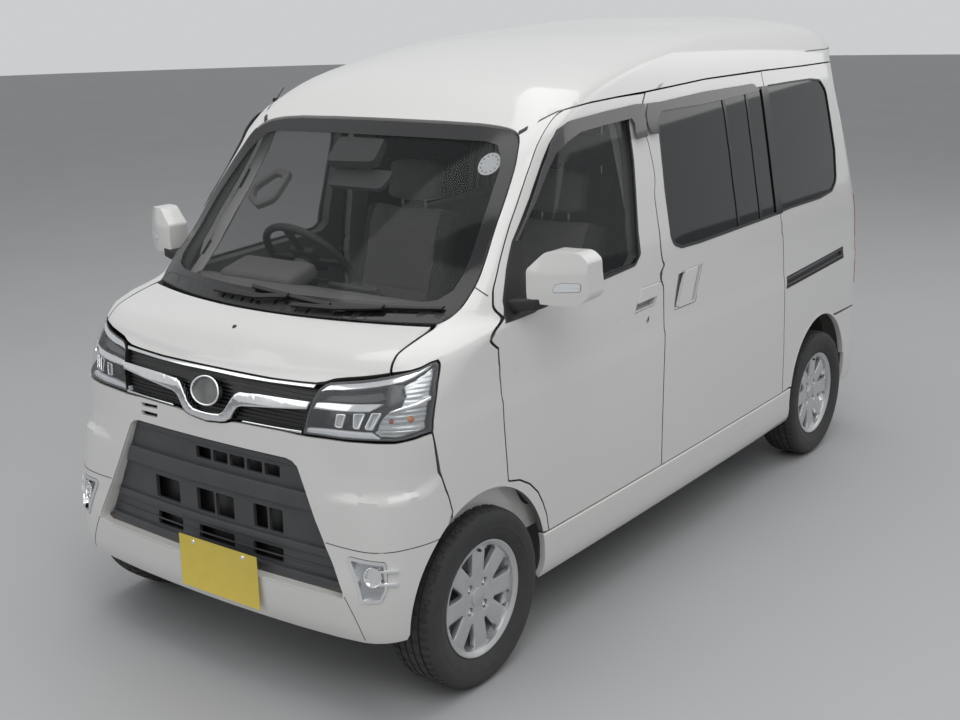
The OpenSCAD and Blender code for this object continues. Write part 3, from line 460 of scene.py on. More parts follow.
gateSeam = [roofRear[0]] + seen("rear", [(588, 1640), (592, 1560), (640, 1100), (640, 636)], 50)
quarterGate = gateSeam[:-1] + seen("rear", [(640, 588)], 50)


def gap(points, d=0.0026):
    return grown(points, -d)


fenderOutline = (eased(bonnetSeam) + eased(screenEdge[:-3])[1:] + gutterLine[1:3]
                 + eased(pillarSeam + doorEdge[:2]) + doorEdge[2:] + archDoor
                 + [p for p in archFront if p[1] > 0.373 and p[0] > 0.835][::-1]
                 + bumperSeam[::-1] + eased(lampOuter[::-1])[1:] + lampTop[:-4:-1])
doorTop = [p for p in gutterLine if 0.70 < p[0] < 1.30]
frontDoorOutline = (doorTop + eased(seamB) + archDoor[::-1] + doorEdge[:1:-1]
                    + eased((pillarSeam + doorEdge[:2])[::-1]))
slideOutline = [p for p in gutterLine if 1.33 < p[0] < 2.7] + seamC + eased(seamB)[::-1]
rearArchPart = [p for p in archRear if p[1] > 0.373 and (p[0] < 3.4 or p[1] > 0.588)][::-1]
quarterOutline = (seamC[::-1] + [p for p in gutterLine if p[0] > 2.8] + eased(quarterGate)
                  + [(3.88, 0.588)] + rearArchPart)
bonnetOutline = both([(0.0, 1.084), (0.20, 1.084), (0.40, 1.0835)] + eased(bonnetSeam)[::-1]
                     + mm([(0.557, 990), (0.511, 981), (0.478, 973), (0.455, 964), (0.425, 958),
                           (0.371, 955), (0.253, 951), (0.125, 951), (0.0, 951)]))
screenOutline = both([(0.0, 1.592), (0.2, 1.591)] + eased(screenEdge)[::-1]
                     + mm([(0.40, 1084), (0.2, 1084), (0.0, 1084)]))
gateOutline = both(roofRear[::-1] + eased(gateSeam)[1:] + [(4.4, 0.636), (4.6, 0.636)])
frontWindow = seen("side", rounded([
    (385, 1143), (420, 1117), (634, 1106), (970, 1088), (1118, 1082), (1113, 1131), (1065, 1208),
    (1013, 1282), (913, 1391), (849, 1471), (796, 1538), (752, 1576), (700, 1594), (506, 1606),
    (345, 1612), (347, 1447), (365, 1319), (382, 1208)],
    [12, 26, 0, 0, 14, 20, 0, 0, 0, 0, 20, 20, 20, 0, 30, 0, 0, 0]), 30, True)
slideWindow = seen("side", rounded([
    (149, 1600), (157, 1493), (168, 1327), (167, 1176), (150, 1142), (100, 1124), (-33, 1121),
    (-533, 1126), (-700, 1128), (-697, 1612)], [40, 0, 0, 30, 30, 30, 0, 0, 8, 8]), 30, True)
quarterWindow = seen("side", rounded([
    (-742, 1130), (-820, 1133), (-1136, 1131), (-1275, 1143), (-1337, 1182), (-1357, 1307),
    (-1344, 1455), (-1331, 1560), (-1279, 1605), (-1172, 1615), (-963, 1616), (-739, 1615)],
    [8, 0, 40, 40, 60, 40, 0, 60, 50, 30, 0, 8]), 30, True)
gateWindow = seen("rear", rounded([(-562, 1120), (562, 1120), (508, 1596), (-508, 1596)], 60), 40, True)
frontPull = rounded(mm([(1.738, 1036), (1.880, 1036), (1.884, 962), (1.742, 958)]), 0.010)
slidePull = rounded(mm([(2.012, 1044), (2.205, 1044), (2.212, 916), (2.040, 916)]), 0.016)
railHole = seen("side", [(-776, 862), (-1400, 886), (-1402, 834), (-774, 812)], 60, True)
tailHole = rounded(seen("rear", [(642, 690), (642, 1102)], 60)
                   + mm([(3.845, 1102), (3.835, 1060), (3.835, 740), (3.85, 690)]), 0.012, n=3)
fuelHole = turned(seen("side", rounded([(-1330, 687), (-1330, 817), (-1460, 817), (-1460, 687)], 14),
                       40, True))
left, right = (lambda p: p), turned
for side, tag in ((left, "left"), (right, "right")):
    panel("fender_" + tag, side(gap(fenderOutline)), [], "van", [paint, insideShade, gapShade], 0.020,
          bevel=0.0022, step=0.022, stands=["body_side_" + tag])
    holes = [side(quarterWindow), side(railHole), side(tailHole)]
    panel("quarter_" + tag, side(gap(quarterOutline)), holes + ([fuelHole] if tag == "right" else []),
          "van", [paint, insideShade, gapShade], 0.024, bevel=0.0025, step=0.03)
    panel("door_skin_" + tag, side(gap(frontDoorOutline)), [side(frontWindow), side(frontPull)],
          "door_front_" + tag, [paint, trimGrey, gapShade], 0.046, bevel=0.0025, step=0.03,
          stands=["front_door_" + tag])
    panel("slide_skin_" + tag, side(gap(slideOutline)), [side(slideWindow), side(slidePull)], "van",
          [paint, trimGrey, gapShade], 0.046, bevel=0.0025, step=0.03, stands=["sliding_doors"])
    panel("door_pane_" + tag, side(grown(frontWindow, 0.006)), [], "door_front_" + tag,
          [frontGlass], 0.004, top=-0.010, bevel=0, step=0.04, stands=["front_door_glass_" + tag])
    panel("slide_pane_" + tag, side(grown(slideWindow, -0.002)), [], "van", [privacy], 0.004,
          top=-0.004, bevel=0.001, step=0.04, stands=["side_glass"])
    panel("quarter_pane_" + tag, side(grown(quarterWindow, -0.002)), [], "van", [privacy], 0.004,
          top=-0.004, bevel=0.001, step=0.04)
print("stage: side panels made")

roofLow = ([(0.0, 1.595), (0.2, 1.5945)] + [(u, z + 0.003) for u, z in eased(screenEdge[-5:])[::-1]]
           + [(u, z + 0.003) for u, z in gutterLine[1:]] + roofRear)
roofHalf = dense(roofLow, 0.03)
top = bodyH / 1000
bm = flatPanel([(-u, z) for u, z in roofHalf[:0:-1]] + roofHalf + [(4.6, top), (-4.6, top)],
               [], 0.022, bevel=0.002)
roofZ = [1.58 + 0.02 * k for k in range(12)] + [
    1.815, 1.825, 1.832, 1.838, 1.844, 1.850, 1.855, 1.860, 1.864, 1.868, 1.8705, 1.8725, 1.874]
bmesh.ops.delete(bm, geom=[f for f in bm.faces if f.material_index == 2 and (
    all(abs(abs(v.co.x) - 4.6) < 1e-5 for v in f.verts) or all(v.co.y > top - 1e-5 for v in f.verts))],
    context="FACES")
gridCut(bm, 0.05, zLines=roofZ)
wrap(bm)
bmesh.ops.remove_doubles(bm, verts=bm.verts[:], dist=3e-4)
for height in (top, top - 0.022):
    crown = [e for e in bm.edges if e.is_boundary and all(abs(v.co.z - height) < 4e-4 for v in e.verts)]
    bmesh.ops.contextual_create(bm, geom=crown)
bmesh.ops.recalc_face_normals(bm, faces=bm.faces[:])
addMesh("roof_panel", bm, "van", [paint, headliner, paint], 40, False, ["roof"])


def bonnetDip(u, z):
    # the front edge falls away below a crease
    crease = np.interp(np.abs(u), [0, 0.07, 0.35, 0.59], [971, 971, 983, 1001])
    return -5 * np.clip((crease - z) / 12, 0, 1)


panel("bonnet_panel", gap(bonnetOutline), [], "front_bonnet", [paint, insideShade, gapShade], 0.018,
      bevel=0.0025, step=0.03, zStep=0.006, relief=bonnetDip, stands=["bonnet"])
panel("windscreen_pane", gap(screenOutline, 0.002), [], "van", [screenGlass], 0.005, top=-0.004,
      bevel=0, step=0.04, stands=["windscreen"])
panel("gate_skin", gap(gateOutline), [gateWindow], "rear_gate", [paint, trimGrey, gapShade], 0.04,
      bevel=0.0025, step=0.03, stands=["tailgate"])
panel("gate_pane", grown(gateWindow, -0.002), [], "rear_gate", [privacy], 0.004, top=-0.004,
      bevel=0.001, step=0.04, stands=["tailgate_glass"])
print("stage: roof, bonnet and tailgate made")


def bar(topLine, lowLine):
    return list(topLine) + list(lowLine)[::-1]


def ring(cu, cz, ru, rz, n=40):
    return [(cu + ru * math.cos(2 * math.pi * k / n), cz + rz * math.sin(2 * math.pi * k / n))
            for k in range(n)]


# Front end.
lampOutline = lampInner + lampTop + lampOuter + lampLow
cheek = [p for p in archFront if p[0] < 0.83 and p[1] > 0.265][::-1]
grilleHole = both(mm([(0.0, 742), (0.310, 742), (0.330, 737), (0.345, 724), (0.362, 663),
                      (0.381, 584), (0.404, 511), (0.454, 397), (0.455, 380), (0.440, 372),
                      (0.0, 372)]))
fogHole = rounded(mm([(0.460, 504), (0.595, 502), (0.606, 424), (0.586, 387), (0.508, 377),
                      (0.496, 414)]), 0.014)
slots = [mm([(-0.312, 801), (-0.229, 804), (-0.229, 793), (-0.304, 790)]),
         mm([(-0.305, 777), (-0.224, 778), (-0.224, 766), (-0.297, 764)])]
bumperOutline = both(
    mm([(0.0, 795), (0.064, 801), (0.086, 805), (0.105, 811), (0.149, 814), (0.309, 817),
        (0.392, 815), (0.459, 818), (0.561, 823), (0.638, 822), (0.684, 829), (0.708, 835)])
    + bumperSeam + cheek + mm([(0.675, 261), (0.609, 256), (0.520, 250), (0.440, 243),
                               (0.314, 240), (0.0, 240)]))


def lipDip(u, z):
    # the wing's crease with a hollow above it, the lip turned in below and the plate's flat seat
    seat = -6 * np.clip((0.165 - np.abs(u - 0.044)) / 0.014, 0, 1) * np.clip(
        (452 - z) / 14, 0, 1) * np.clip((z - 250) / 14, 0, 1)
    u = np.abs(u)
    crease = np.interp(u, [0.40, 0.44, 0.532, 0.646, 0.735, 0.764, 0.80],
                       [640, 648, 659, 664, 678, 703, 726])
    above = np.clip((z - crease) / 16, 0, 1)
    above = above * above * (3 - 2 * above)
    wing = -12 * above * np.clip((818 - z) / 95, 0, 1) * np.clip((u - 0.40) / 0.13, 0, 1) * np.clip(
        (0.80 - u) / 0.07, 0, 1)
    under = -9 * np.clip((300 - z) / 60, 0, 1) ** 2
    return wing + under + seat


def grilleDip(u, z):
    return -20 - 30 * (742 - z) / 370


panel("bumper_skin", gap(bumperOutline, 0.0022), [grilleHole, fogHole, turned(fogHole), *slots],
      "van", [paint, insideShade, paint], 0.012, bevel=0.0035, step=0.012, relief=lipDip,
      stands=["front_bumper"])
panel("bumper_reveal", grown(grilleHole, 0.006), [grown(grilleHole, -0.001)], "van",
      [paint, black, paint], 0.062, top=-0.008, bevel=0, step=0.03)
panel("slot_backing", mm([(-0.33, 812), (-0.21, 812), (-0.21, 758), (-0.33, 758)]),
      [], "van", [black], 0.003, top=-0.02, bevel=0, step=0.03)
openings = []
for y1, y2, z1, z2 in [(-72, -8, 671, 706), (2, 62, 671, 706), (72, 132, 671, 706),
                       (142, 202, 671, 706), (212, 270, 671, 706), (-274, -161, 503, 574),
                       (-80, -4, 503, 574), (4, 80, 503, 574), (161, 215, 503, 574),
                       (223, 274, 503, 574), (-272, -154, 418, 460), (-76, 76, 418, 460),
                       (154, 272, 418, 460)]:
    openings.append(seen("front", rounded([(y1, z1), (y2, z1), (y2, z2), (y1, z2)], 5, n=2), 30, True))
panel("grille_plate", grown(grilleHole, -0.0015), openings, "van", [greyPlastic], 0.012,
      bevel=0.0015, step=0.02, relief=grilleDip, stands=["bumper_grille"])
panel("grille_backing", grown(grilleHole, -0.004), [], "van", [black], 0.003, top=-0.035,
      bevel=0, step=0.04, relief=grilleDip)


def halfWidth(z):
    return np.interp(z, [372, 397, 511, 584, 663, 742], [0.438, 0.45, 0.400, 0.377, 0.357, 0.330])


for name, z1, z2, rise in [("top", 718, 736, 0.008), ("main", 597, 650, 0.014),
                           ("middle", 470, 494, 0.010), ("foot", 376, 408, 0.012)]:
    w1, w2 = halfWidth(z1) - 0.006, halfWidth(z2) - 0.006
    panel("grille_bar_" + name, mm([(-w1, z1), (w1, z1), (w2, z2), (-w2, z2)]), [], "van",
          [greyPlastic], rise + 0.004, top=rise, bevel=0.005, step=0.03, relief=grilleDip)
for k, z in ((1, 439), (5, 607)):
    w = halfWidth(z) - 0.008
    panel("grille_line_%d" % k, mm([(-w, z - 2), (w, z - 2), (w, z + 2), (-w, z + 2)]), [], "van",
          [greyPlastic], 0.006, top=0.004, bevel=0.001, step=0.04, relief=grilleDip)

# Upper grille with a chrome band and a bare disc.
meshOutline = both(mm([(0.0, 946), (0.25, 944), (0.371, 948), (0.441, 949), (0.436, 920),
                       (0.424, 885), (0.395, 830), (0.386, 820), (0.309, 819), (0.149, 816),
                       (0.105, 813), (0.069, 804), (0.0, 799)]))
panel("mesh_backing", meshOutline, [], "van", [black], 0.004, top=-0.024, bevel=0, step=0.03,
      stands=["upper_grille"])
for k in range(11):
    z = 826 + 11.5 * k
    w = float(np.interp(z, [826, 885, 945], [0.386, 0.422, 0.436]))
    panel("mesh_bar_%d" % k, mm([(-w, z - 1.8), (w, z - 1.8), (w, z + 1.8), (-w, z + 1.8)]), [],
          "van", [black], 0.006, top=-0.017, bevel=0.0008, step=0.035)
chromeTop = mm([(0.0, 948.5), (0.125, 948), (0.253, 948), (0.371, 952), (0.436, 955)])
chromeLow = mm([(0.0, 938), (0.131, 937), (0.258, 939), (0.377, 943), (0.431, 945)])
panel("chrome_strip", both(chromeTop + chromeLow[::-1]), [], "van", [chrome], 0.012, top=0.003,
      bevel=0.003, step=0.03)
bandTop = mm([(0.0, 823), (0.030, 824), (0.058, 827), (0.074, 834), (0.087, 846), (0.115, 879),
              (0.130, 894), (0.148, 901), (0.231, 906), (0.355, 909), (0.437, 911)])
bandLow = mm([(0.0, 798), (0.064, 804), (0.084, 808), (0.103, 818), (0.127, 845), (0.140, 856),
              (0.158, 862), (0.236, 870), (0.319, 878), (0.429, 889)])
panel("chrome_band", both(bandTop + bandLow[::-1]), [], "van", [chrome], 0.018, top=0.006,
      bevel=0.0045, step=0.02)
for side, tag in ((left, "left"), (right, "right")):
    panel("grille_foot_" + tag, side(mm([(0.150, 817), (0.310, 820), (0.388, 820), (0.394, 828),
                                         (0.310, 825), (0.158, 822)])), [], "van", [chrome],
          0.008, top=0.001, bevel=0.002, step=0.03)
panel("emblem_ring", ring(0, 0.884, 0.067, 0.042), [ring(0, 0.884, 0.059, 0.0355)], "van",
      [chrome], 0.014, top=0.012, bevel=0.003, step=0.5)
panel("emblem_disc", ring(0, 0.884, 0.061, 0.037), [], "van", [castMetal], 0.012, top=0.004,
      bevel=0.0015, step=0.5)

# Headlamps.
browLow = mm([(0.452, 939), (0.470, 945), (0.511, 952), (0.558, 963), (0.596, 971), (0.624, 977),
              (0.650, 990), (0.671, 1005)])
browTop = [(u, z - 0.003) for u, z in lampTop] + mm([(0.680, 1017)])
midTop = mm([(0.448, 913), (0.530, 922), (0.581, 926), (0.612, 927)])
midLow = mm([(0.439, 893), (0.506, 896), (0.545, 900), (0.582, 903), (0.597, 913)])
turnOutline = mm([(0.632, 973), (0.652, 985), (0.672, 1001), (0.684, 1013), (0.701, 985),
                  (0.717, 937), (0.720, 885), (0.716, 850), (0.690, 841), (0.640, 833),
                  (0.600, 836), (0.588, 846), (0.598, 858), (0.611, 886), (0.624, 903),
                  (0.648, 911), (0.652, 945)])
ribTop = mm([(0.626, 907), (0.648, 915), (0.680, 923), (0.715, 937)])
ribLow = mm([(0.624, 900), (0.650, 906), (0.684, 913), (0.718, 927)])
cells = [[(0.512, 890), (0.535, 894), (0.520, 852), (0.503, 850)],
         [(0.547, 897), (0.576, 901), (0.559, 856), (0.544, 854)],
         [(0.587, 903), (0.611, 903), (0.589, 856), (0.569, 855)]]
lampRim = mm([(0.400, 836), (0.450, 840), (0.501, 844), (0.542, 847), (0.584, 848), (0.596, 838)])


def ribs(u, z):
    return 0.55 * np.sin(z / 2.1) - 6 * np.clip((0.66 - np.abs(u)) / 0.06, 0, 1)


for side, tag in ((left, "left"), (right, "right")):
    panel("lamp_shell_" + tag, side(grown(lampOutline, -0.001)), [side(grown(lampOutline, -0.0055))],
          "van", [black], 0.050, top=-0.003, bevel=0.001, step=0.03, stands=["headlamps"])
    panel("lamp_floor_" + tag, side(grown(lampOutline, -0.004)), [], "van", [gloss], 0.003,
          top=-0.050, bevel=0, step=0.03)
    panel("lamp_brow_" + tag, side(bar(browTop, browLow)), [], "van", [chrome], 0.020,
          top=-0.007, bevel=0.004, step=0.02)
    panel("lamp_bar_" + tag, side(bar(midTop, midLow)), [], "van", [chrome], 0.030, top=-0.008,
          bevel=0.005, step=0.02)
    panel("lamp_turn_" + tag, side(turnOutline), [], "van", [turnClear, gloss, lampWhite], 0.022,
          top=-0.020, bevel=0.003, step=0.012, zStep=0.0022, relief=ribs)
    panel("lamp_block_" + tag, side(mm([(0.600, 975), (0.634, 973), (0.651, 918), (0.627, 906),
                                        (0.612, 928)])), [], "van", [gloss], 0.016, top=-0.011,
          bevel=0.002, step=0.03)
    panel("lamp_rib_" + tag, side(bar(ribTop, ribLow)), [], "van", [chrome], 0.016, top=-0.006,
          bevel=0.003, step=0.02)
    panel("lamp_border_" + tag, side(bar(lampRim, [(u, z + 0.004) for u, z in lampLow[:3:-1]])),
          [], "van", [lampWhite], 0.014, top=-0.009, bevel=0.002, step=0.03)
    panel("lamp_bezel_" + tag, side(mm([(0.470, 936), (0.590, 961), (0.606, 940), (0.585, 933),
                                        (0.455, 921)])), [], "van", [greyPlastic], 0.010,
          top=-0.030, bevel=0.003, step=0.03)
    for k, cell in enumerate(cells):
        panel("lamp_cell_%s_%d" % (tag, k), side(rounded(mm(cell), 0.006, n=3)),
              [side(rounded(grown(mm(cell), -0.0045), 0.003, n=3))], "van", [mirrorMetal], 0.026,
              top=-0.014, bevel=0.002, step=0.5)
        panel("lamp_diode_%s_%d" % (tag, k), side(grown(mm(cell), -0.004)), [], "van", [lampWhite],
              0.004, top=-0.034, bevel=0.001, step=0.5)
    for k, (u, z, r, mat) in enumerate([(0.669, 882, 0.011, lensAmber), (0.628, 878, 0.008, lensRed)]):
        bm = bmesh.new()
        bmesh.ops.create_uvsphere(bm, u_segments=20, v_segments=12, radius=r)
        place = bodyAt(u if side is left else -u, z) / 1000
        inward = Vector((0.024, 0.012 if side is left else -0.012, 0.006))
        bmesh.ops.translate(bm, vec=Vector(place) - inward, verts=bm.verts[:])
        addMesh("lamp_bulb_%s_%d" % (tag, k), bm, "van", [mat], 60)
    panel("lamp_lens_" + tag, side(grown(lampOutline, -0.0024)), [], "van", [lensClear], 0.003,
          top=0.0005, bevel=0.001, step=0.03)
    lampRing = side(ring(0.544, 0.453, 0.036, 0.029, 32))
    inner = side(grown(fogHole, -0.011))
    panel("fog_bezel_" + tag, side(grown(fogHole, -0.0012)), [inner], "van", [chrome], 0.032,
          top=0.003, bevel=0.0035, step=0.02, stands=["fog_lamps"])
    panel("fog_plate_" + tag, side(grown(fogHole, -0.009)), [lampRing], "van", [satin], 0.010,
          top=-0.012, bevel=0.002, step=0.02,
          relief=lambda u, z: -9 * np.clip((z - 400) / 100, 0, 1))
    panel("fog_bowl_" + tag, side(ring(0.544, 0.453, 0.038, 0.031, 32)), [], "van", [gloss], 0.002,
          top=-0.040, bevel=0, step=0.5)
    panel("fog_trim_" + tag, lampRing, [side(ring(0.544, 0.453, 0.031, 0.0245, 32))], "van",
          [chrome], 0.03, top=-0.004, bevel=0.003, step=0.5)
    panel("fog_glass_" + tag, side(ring(0.544, 0.453, 0.031, 0.0245, 32)), [], "van", [mirrorMetal],
          0.012, top=-0.016, bevel=0.009, step=0.5)
    for k, z in enumerate((476, 440)):
        panel("fog_fin_%s_%d" % (tag, k), side(mm([(0.572, z - 5), (0.640, z - 5), (0.644, z),
                                                  (0.636, z + 5), (0.572, z + 4)])), [], "van",
              [chrome], 0.014, top=0.009, bevel=0.003, step=0.03)
    w = 0.0011
    for name, points in (("corner", [(0.404, 526), (0.477, 522), (0.610, 527), (0.689, 533),
                                     (0.789, 533)]),
                         ("lip", [(0.459, 385), (0.480, 345), (0.501, 301), (0.516, 262)])):
        pts = eased(mm(points))
        if name == "corner":
            strip = bar([(u, z + w) for u, z in pts], [(u, z - w) for u, z in pts])
        else:
            strip = bar([(u - w, z) for u, z in pts], [(u + w, z) for u, z in pts])
        panel("bumper_seam_%s_%s" % (name, tag), side(strip), [], "van", [rubber], 0.001, top=0.0004,
              bevel=0, step=0.02, relief=lipDip)

# Number plate without characters, cowl, border of the glass, wipers.
plate = {"width": 0.330, "height": 0.165, "thick": 0.0022, "x": 1.6958, "y": 0.052, "z": 0.352,
         "rim": 0.006, "bolts": (-0.105, 0.105), "boltX": 1.6962, "boltZ": 0.419, "holderX": 1.682}
bm = bmesh.new()
bmesh.ops.create_cube(bm, size=1)
bmesh.ops.scale(bm, vec=(plate["thick"], plate["width"], plate["height"]), verts=bm.verts[:])
face = max(bm.faces, key=lambda f: f.calc_center_median().x)
bmesh.ops.inset_region(bm, faces=[face], thickness=plate["rim"])
bmesh.ops.translate(bm, vec=(-0.0012, 0, 0), verts=face.verts[:])
bmesh.ops.translate(bm, vec=(plate["x"], plate["y"], plate["z"]), verts=bm.verts[:])
addMesh("front_plate", bm, "van", [plateYellow], 35)
for k, dy in enumerate(plate["bolts"]):
    bm = bmesh.new()
    bmesh.ops.create_cone(bm, cap_ends=True, segments=18, radius1=0.007, radius2=0.006, depth=0.002,
                          matrix=Matrix.Translation((plate["boltX"], plate["y"] + dy, plate["boltZ"]))
                          @ Matrix.Rotation(math.pi / 2, 4, "Y"))
    addMesh("plate_bolt_%d" % k, bm, "van", [chrome], 40)
bm = bmesh.new()
place = Matrix.Translation((plate["holderX"], plate["y"], plate["z"]))
bmesh.ops.create_cube(bm, size=1, matrix=place
                      @ Matrix.Diagonal((0.022, 0.26, 0.10, 1)))
addMesh("plate_holder", bm, "van", [black], 35)
panel("cowl_panel", both(mm([(0.0, 1123), (0.3, 1122), (0.46, 1117), (0.533, 1108), (0.534, 1100),
                             (0.517, 1088), (0.40, 1087), (0.0, 1087)])), [], "van", [black],
      0.025, top=-0.002, bevel=0.002, step=0.03, stands=["cowl"])
panel("screen_border", grown(screenOutline, -0.004), [both(
    mm([(0.0, 1548), (0.2, 1548), (0.40, 1546), (0.446, 1538), (0.468, 1512), (0.480, 1480),
        (0.484, 1406), (0.485, 1328), (0.483, 1251), (0.480, 1201), (0.478, 1165), (0.462, 1141),
        (0.42, 1132), (0.2, 1130), (0.0, 1130)]))], "van", [gloss], 0.001, top=-0.0025, bevel=0,
      step=0.04)
for k, (points, w, rise) in enumerate([
        ([(-0.060, 1130), (0.080, 1121), (0.215, 1109)], 0.005, 0.012),
        ([(-0.195, 1104), (-0.02, 1106), (0.080, 1117)], 0.006, 0.018),
        ([(0.235, 1112), (0.360, 1114), (0.497, 1117)], 0.005, 0.012),
        ([(0.110, 1098), (0.240, 1101), (0.360, 1110)], 0.006, 0.018)]):
    pts = mm(points)
    panel("wiper_%d" % k, bar([(u, z + w) for u, z in pts], [(u, z - w * 0.7) for u, z in pts]),
          [], "van", [black], 0.009, top=rise, bevel=0.002, step=0.03)
panel("sensor_box", rounded(mm([(-0.15, 1545), (0.03, 1545), (0.05, 1482), (-0.13, 1476)]), 0.012),
      [], "van", [trimDark], 0.03, top=-0.012, bevel=0.003, step=0.06)
panel("inner_mirror", rounded(mm([(-0.11, 1484), (0.11, 1484), (0.105, 1434), (-0.105, 1434)]), 0.02),
      [], "van", [trimDark], 0.014, top=-0.05, bevel=0.004, step=0.06)
panel("glass_sticker", ring(0.440, 1.491, 0.033, 0.030, 36), [], "van", [stickerPale], 0.0006,
      top=-0.0092, bevel=0, step=0.5)
for k in range(12):
    a = math.pi * k / 6
    p, q, n = (math.cos(a), math.sin(a)), (0.44, 1.491), 0.0022
    panel("sticker_tick_%d" % k, ring(q[0] + 0.025 * p[0], q[1] + 0.0225 * p[1], n, n, 8), [], "van",
          [greyPlastic], 0.0004, top=-0.0090, bevel=0, step=0.5)
bm = bmesh.new()
bmesh.ops.create_cone(bm, cap_ends=True, segments=16, radius1=0.008, radius2=0.005, depth=0.008,
                      matrix=Matrix.Translation(Vector(bodyAt(0.0, 1050.0) / 1000)))
addMesh("washer_nozzle", bm, "front_bonnet", [black], 40)
for side, tag in ((left, "left"), (right, "right")):
    joint = eased(mm([(0.534, 1172), (0.565, 1162), (0.590, 1153), (0.607, 1147)]))
    panel("pillar_seam_" + tag, side(bar([(u, z + 0.0011) for u, z in joint], [(u, z - 0.0011) for u, z in joint])),
          [], "van", [rubber], 0.001, top=0.0004, bevel=0, step=0.02)
    panel("gutter_cap_" + tag, side(mm([(0.500, 1566), (0.530, 1580), (0.527, 1588), (0.497, 1574)])), [], "van",
          [black], 0.006, top=0.004, bevel=0.0015, step=0.03)
print("stage: front end made")


# Wheels, each turning about its own axle; local y points outwards.
wheel = {"radius": 272, "width": 165, "rim": 178, "spokes": 8, "windowTip": 82, "windowFoot": 160,
         "windowHalf": 28, "nutCircle": 50, "capRadius": 29, "segments": 120}
tyreHalf = [(58, 165), (62, 176), (66, 182), (71, 189), (75, 198), (78.5, 208), (80, 214), (80.8, 215),
            (80.8, 217), (80.9, 222), (82, 232), (82.3, 238), (81.5, 245), (79, 253), (75, 259.5),
            (69, 264.5), (61, 268), (52, 269.8), (43.5, 270.6), (43, 263.5), (37, 263.5), (36.5, 271.2),
            (16, 271.9), (15.5, 264.5), (10, 264.5), (9.5, 272)]
rimHalf = [(68, 174), (67.5, 177), (65, 178), (62, 177.5), (60, 172), (58, 166), (46, 163.5), (34, 160),
           (20, 152), (-20, 150), (-46, 160), (-58, 164), (-62, 176), (-67, 178), (-68, 173), (-62, 160),
           (-46, 155), (-20, 145), (20, 147), (36, 154), (48, 158), (60, 160), (65, 168)]


def spun(points, segments, closed=False):
    bm = bmesh.new()
    vs = [bm.verts.new((0, y / 1000, r / 1000)) for y, r in points]
    edges = [bm.edges.new(pair) for pair in zip(vs, vs[1:])]
    if closed:
        edges.append(bm.edges.new((vs[-1], vs[0])))
    bmesh.ops.spin(bm, geom=vs + edges, axis=(0, 1, 0), cent=(0, 0, 0), angle=2 * math.pi,
                   steps=segments, use_merge=True)
    bmesh.ops.remove_doubles(bm, verts=bm.verts[:], dist=1e-6)
    bmesh.ops.recalc_face_normals(bm, faces=bm.faces[:])
    return bm


def merged(parts):
    bm = bmesh.new()
    for part in parts:
        mesh = bpy.data.meshes.new("part")
        part.to_mesh(mesh)
        part.free()
        bm.from_mesh(mesh)
        bpy.data.meshes.remove(mesh)
    return bm


def setMat(bm, index):
    for f in bm.faces:
        f.material_index = index
    return bm


def block(size, centre, bevel=0.0, segments=2, turn=None, index=0):
    bm = bmesh.new()
    bmesh.ops.create_cube(bm, size=1)
    bmesh.ops.scale(bm, vec=size, verts=bm.verts[:])
    if bevel:
        bmesh.ops.bevel(bm, geom=bm.edges[:], offset=bevel, segments=segments, profile=0.5,
                        affect="EDGES", clamp_overlap=True, material=-1)
    if turn:
        bmesh.ops.rotate(bm, matrix=Matrix.Rotation(math.radians(turn[1]), 3, turn[0]), verts=bm.verts[:])
    bmesh.ops.translate(bm, vec=centre, verts=bm.verts[:])
    return setMat(bm, index)


def rod(radius, depth, centre, axis="Y", segments=32, bevel=0.0, index=0, radius2=None):
    bm = bmesh.new()
    turn = {"X": Matrix.Rotation(math.pi / 2, 4, "Y"), "Y": Matrix.Rotation(math.pi / 2, 4, "X"),
            "Z": Matrix.Identity(4)}[axis]
    bmesh.ops.create_cone(bm, cap_ends=True, segments=segments, radius1=radius,
                          radius2=radius if radius2 is None else radius2, depth=depth, matrix=turn)
    if bevel:
        rim = [e for e in bm.edges if any(len(f.verts) > 4 for f in e.link_faces)]
        bmesh.ops.bevel(bm, geom=rim, offset=bevel, segments=2, profile=0.5, affect="EDGES",
                        material=-1)
    bmesh.ops.translate(bm, vec=centre, verts=bm.verts[:])
    return setMat(bm, index)


def makeTyre():
    n = wheel["segments"]
    bm = spun(tyreHalf + [(-y, r) for y, r in tyreHalf[::-1]], n)
    rows = [f for f in bm.faces if f.calc_center_median().length > 0.262]
    cuts = []
    for f in rows:
        c = f.calc_center_median()
        k = int(round((math.atan2(c.x, c.z) / (2 * math.pi) + 0.5) * n)) % n
        reach = math.hypot(c.x, c.z)
        if (0.0445 < abs(c.y) < 0.068 and k % 2 == 0) or (
                0.017 < abs(c.y) < 0.036 and k % 3 == 0 and reach > 0.268) or (
                abs(c.y) < 0.0094 and k % 4 == 0 and reach > 0.268):
            cuts.append(f)
    bmesh.ops.inset_individual(bm, faces=cuts, thickness=0.0016, depth=0, use_even_offset=True)
    for f in cuts:
        for v in f.verts:
            d = Vector((v.co.x, 0, v.co.z)).normalized()
            v.co -= d * 0.0028
    return bm


def faceHeight(r):
    return float(np.interp(r, [0, 28, 45, 62, 110, 150, 162], [45, 45.5, 46, 47, 51.5, 54, 54.5])) / 1000


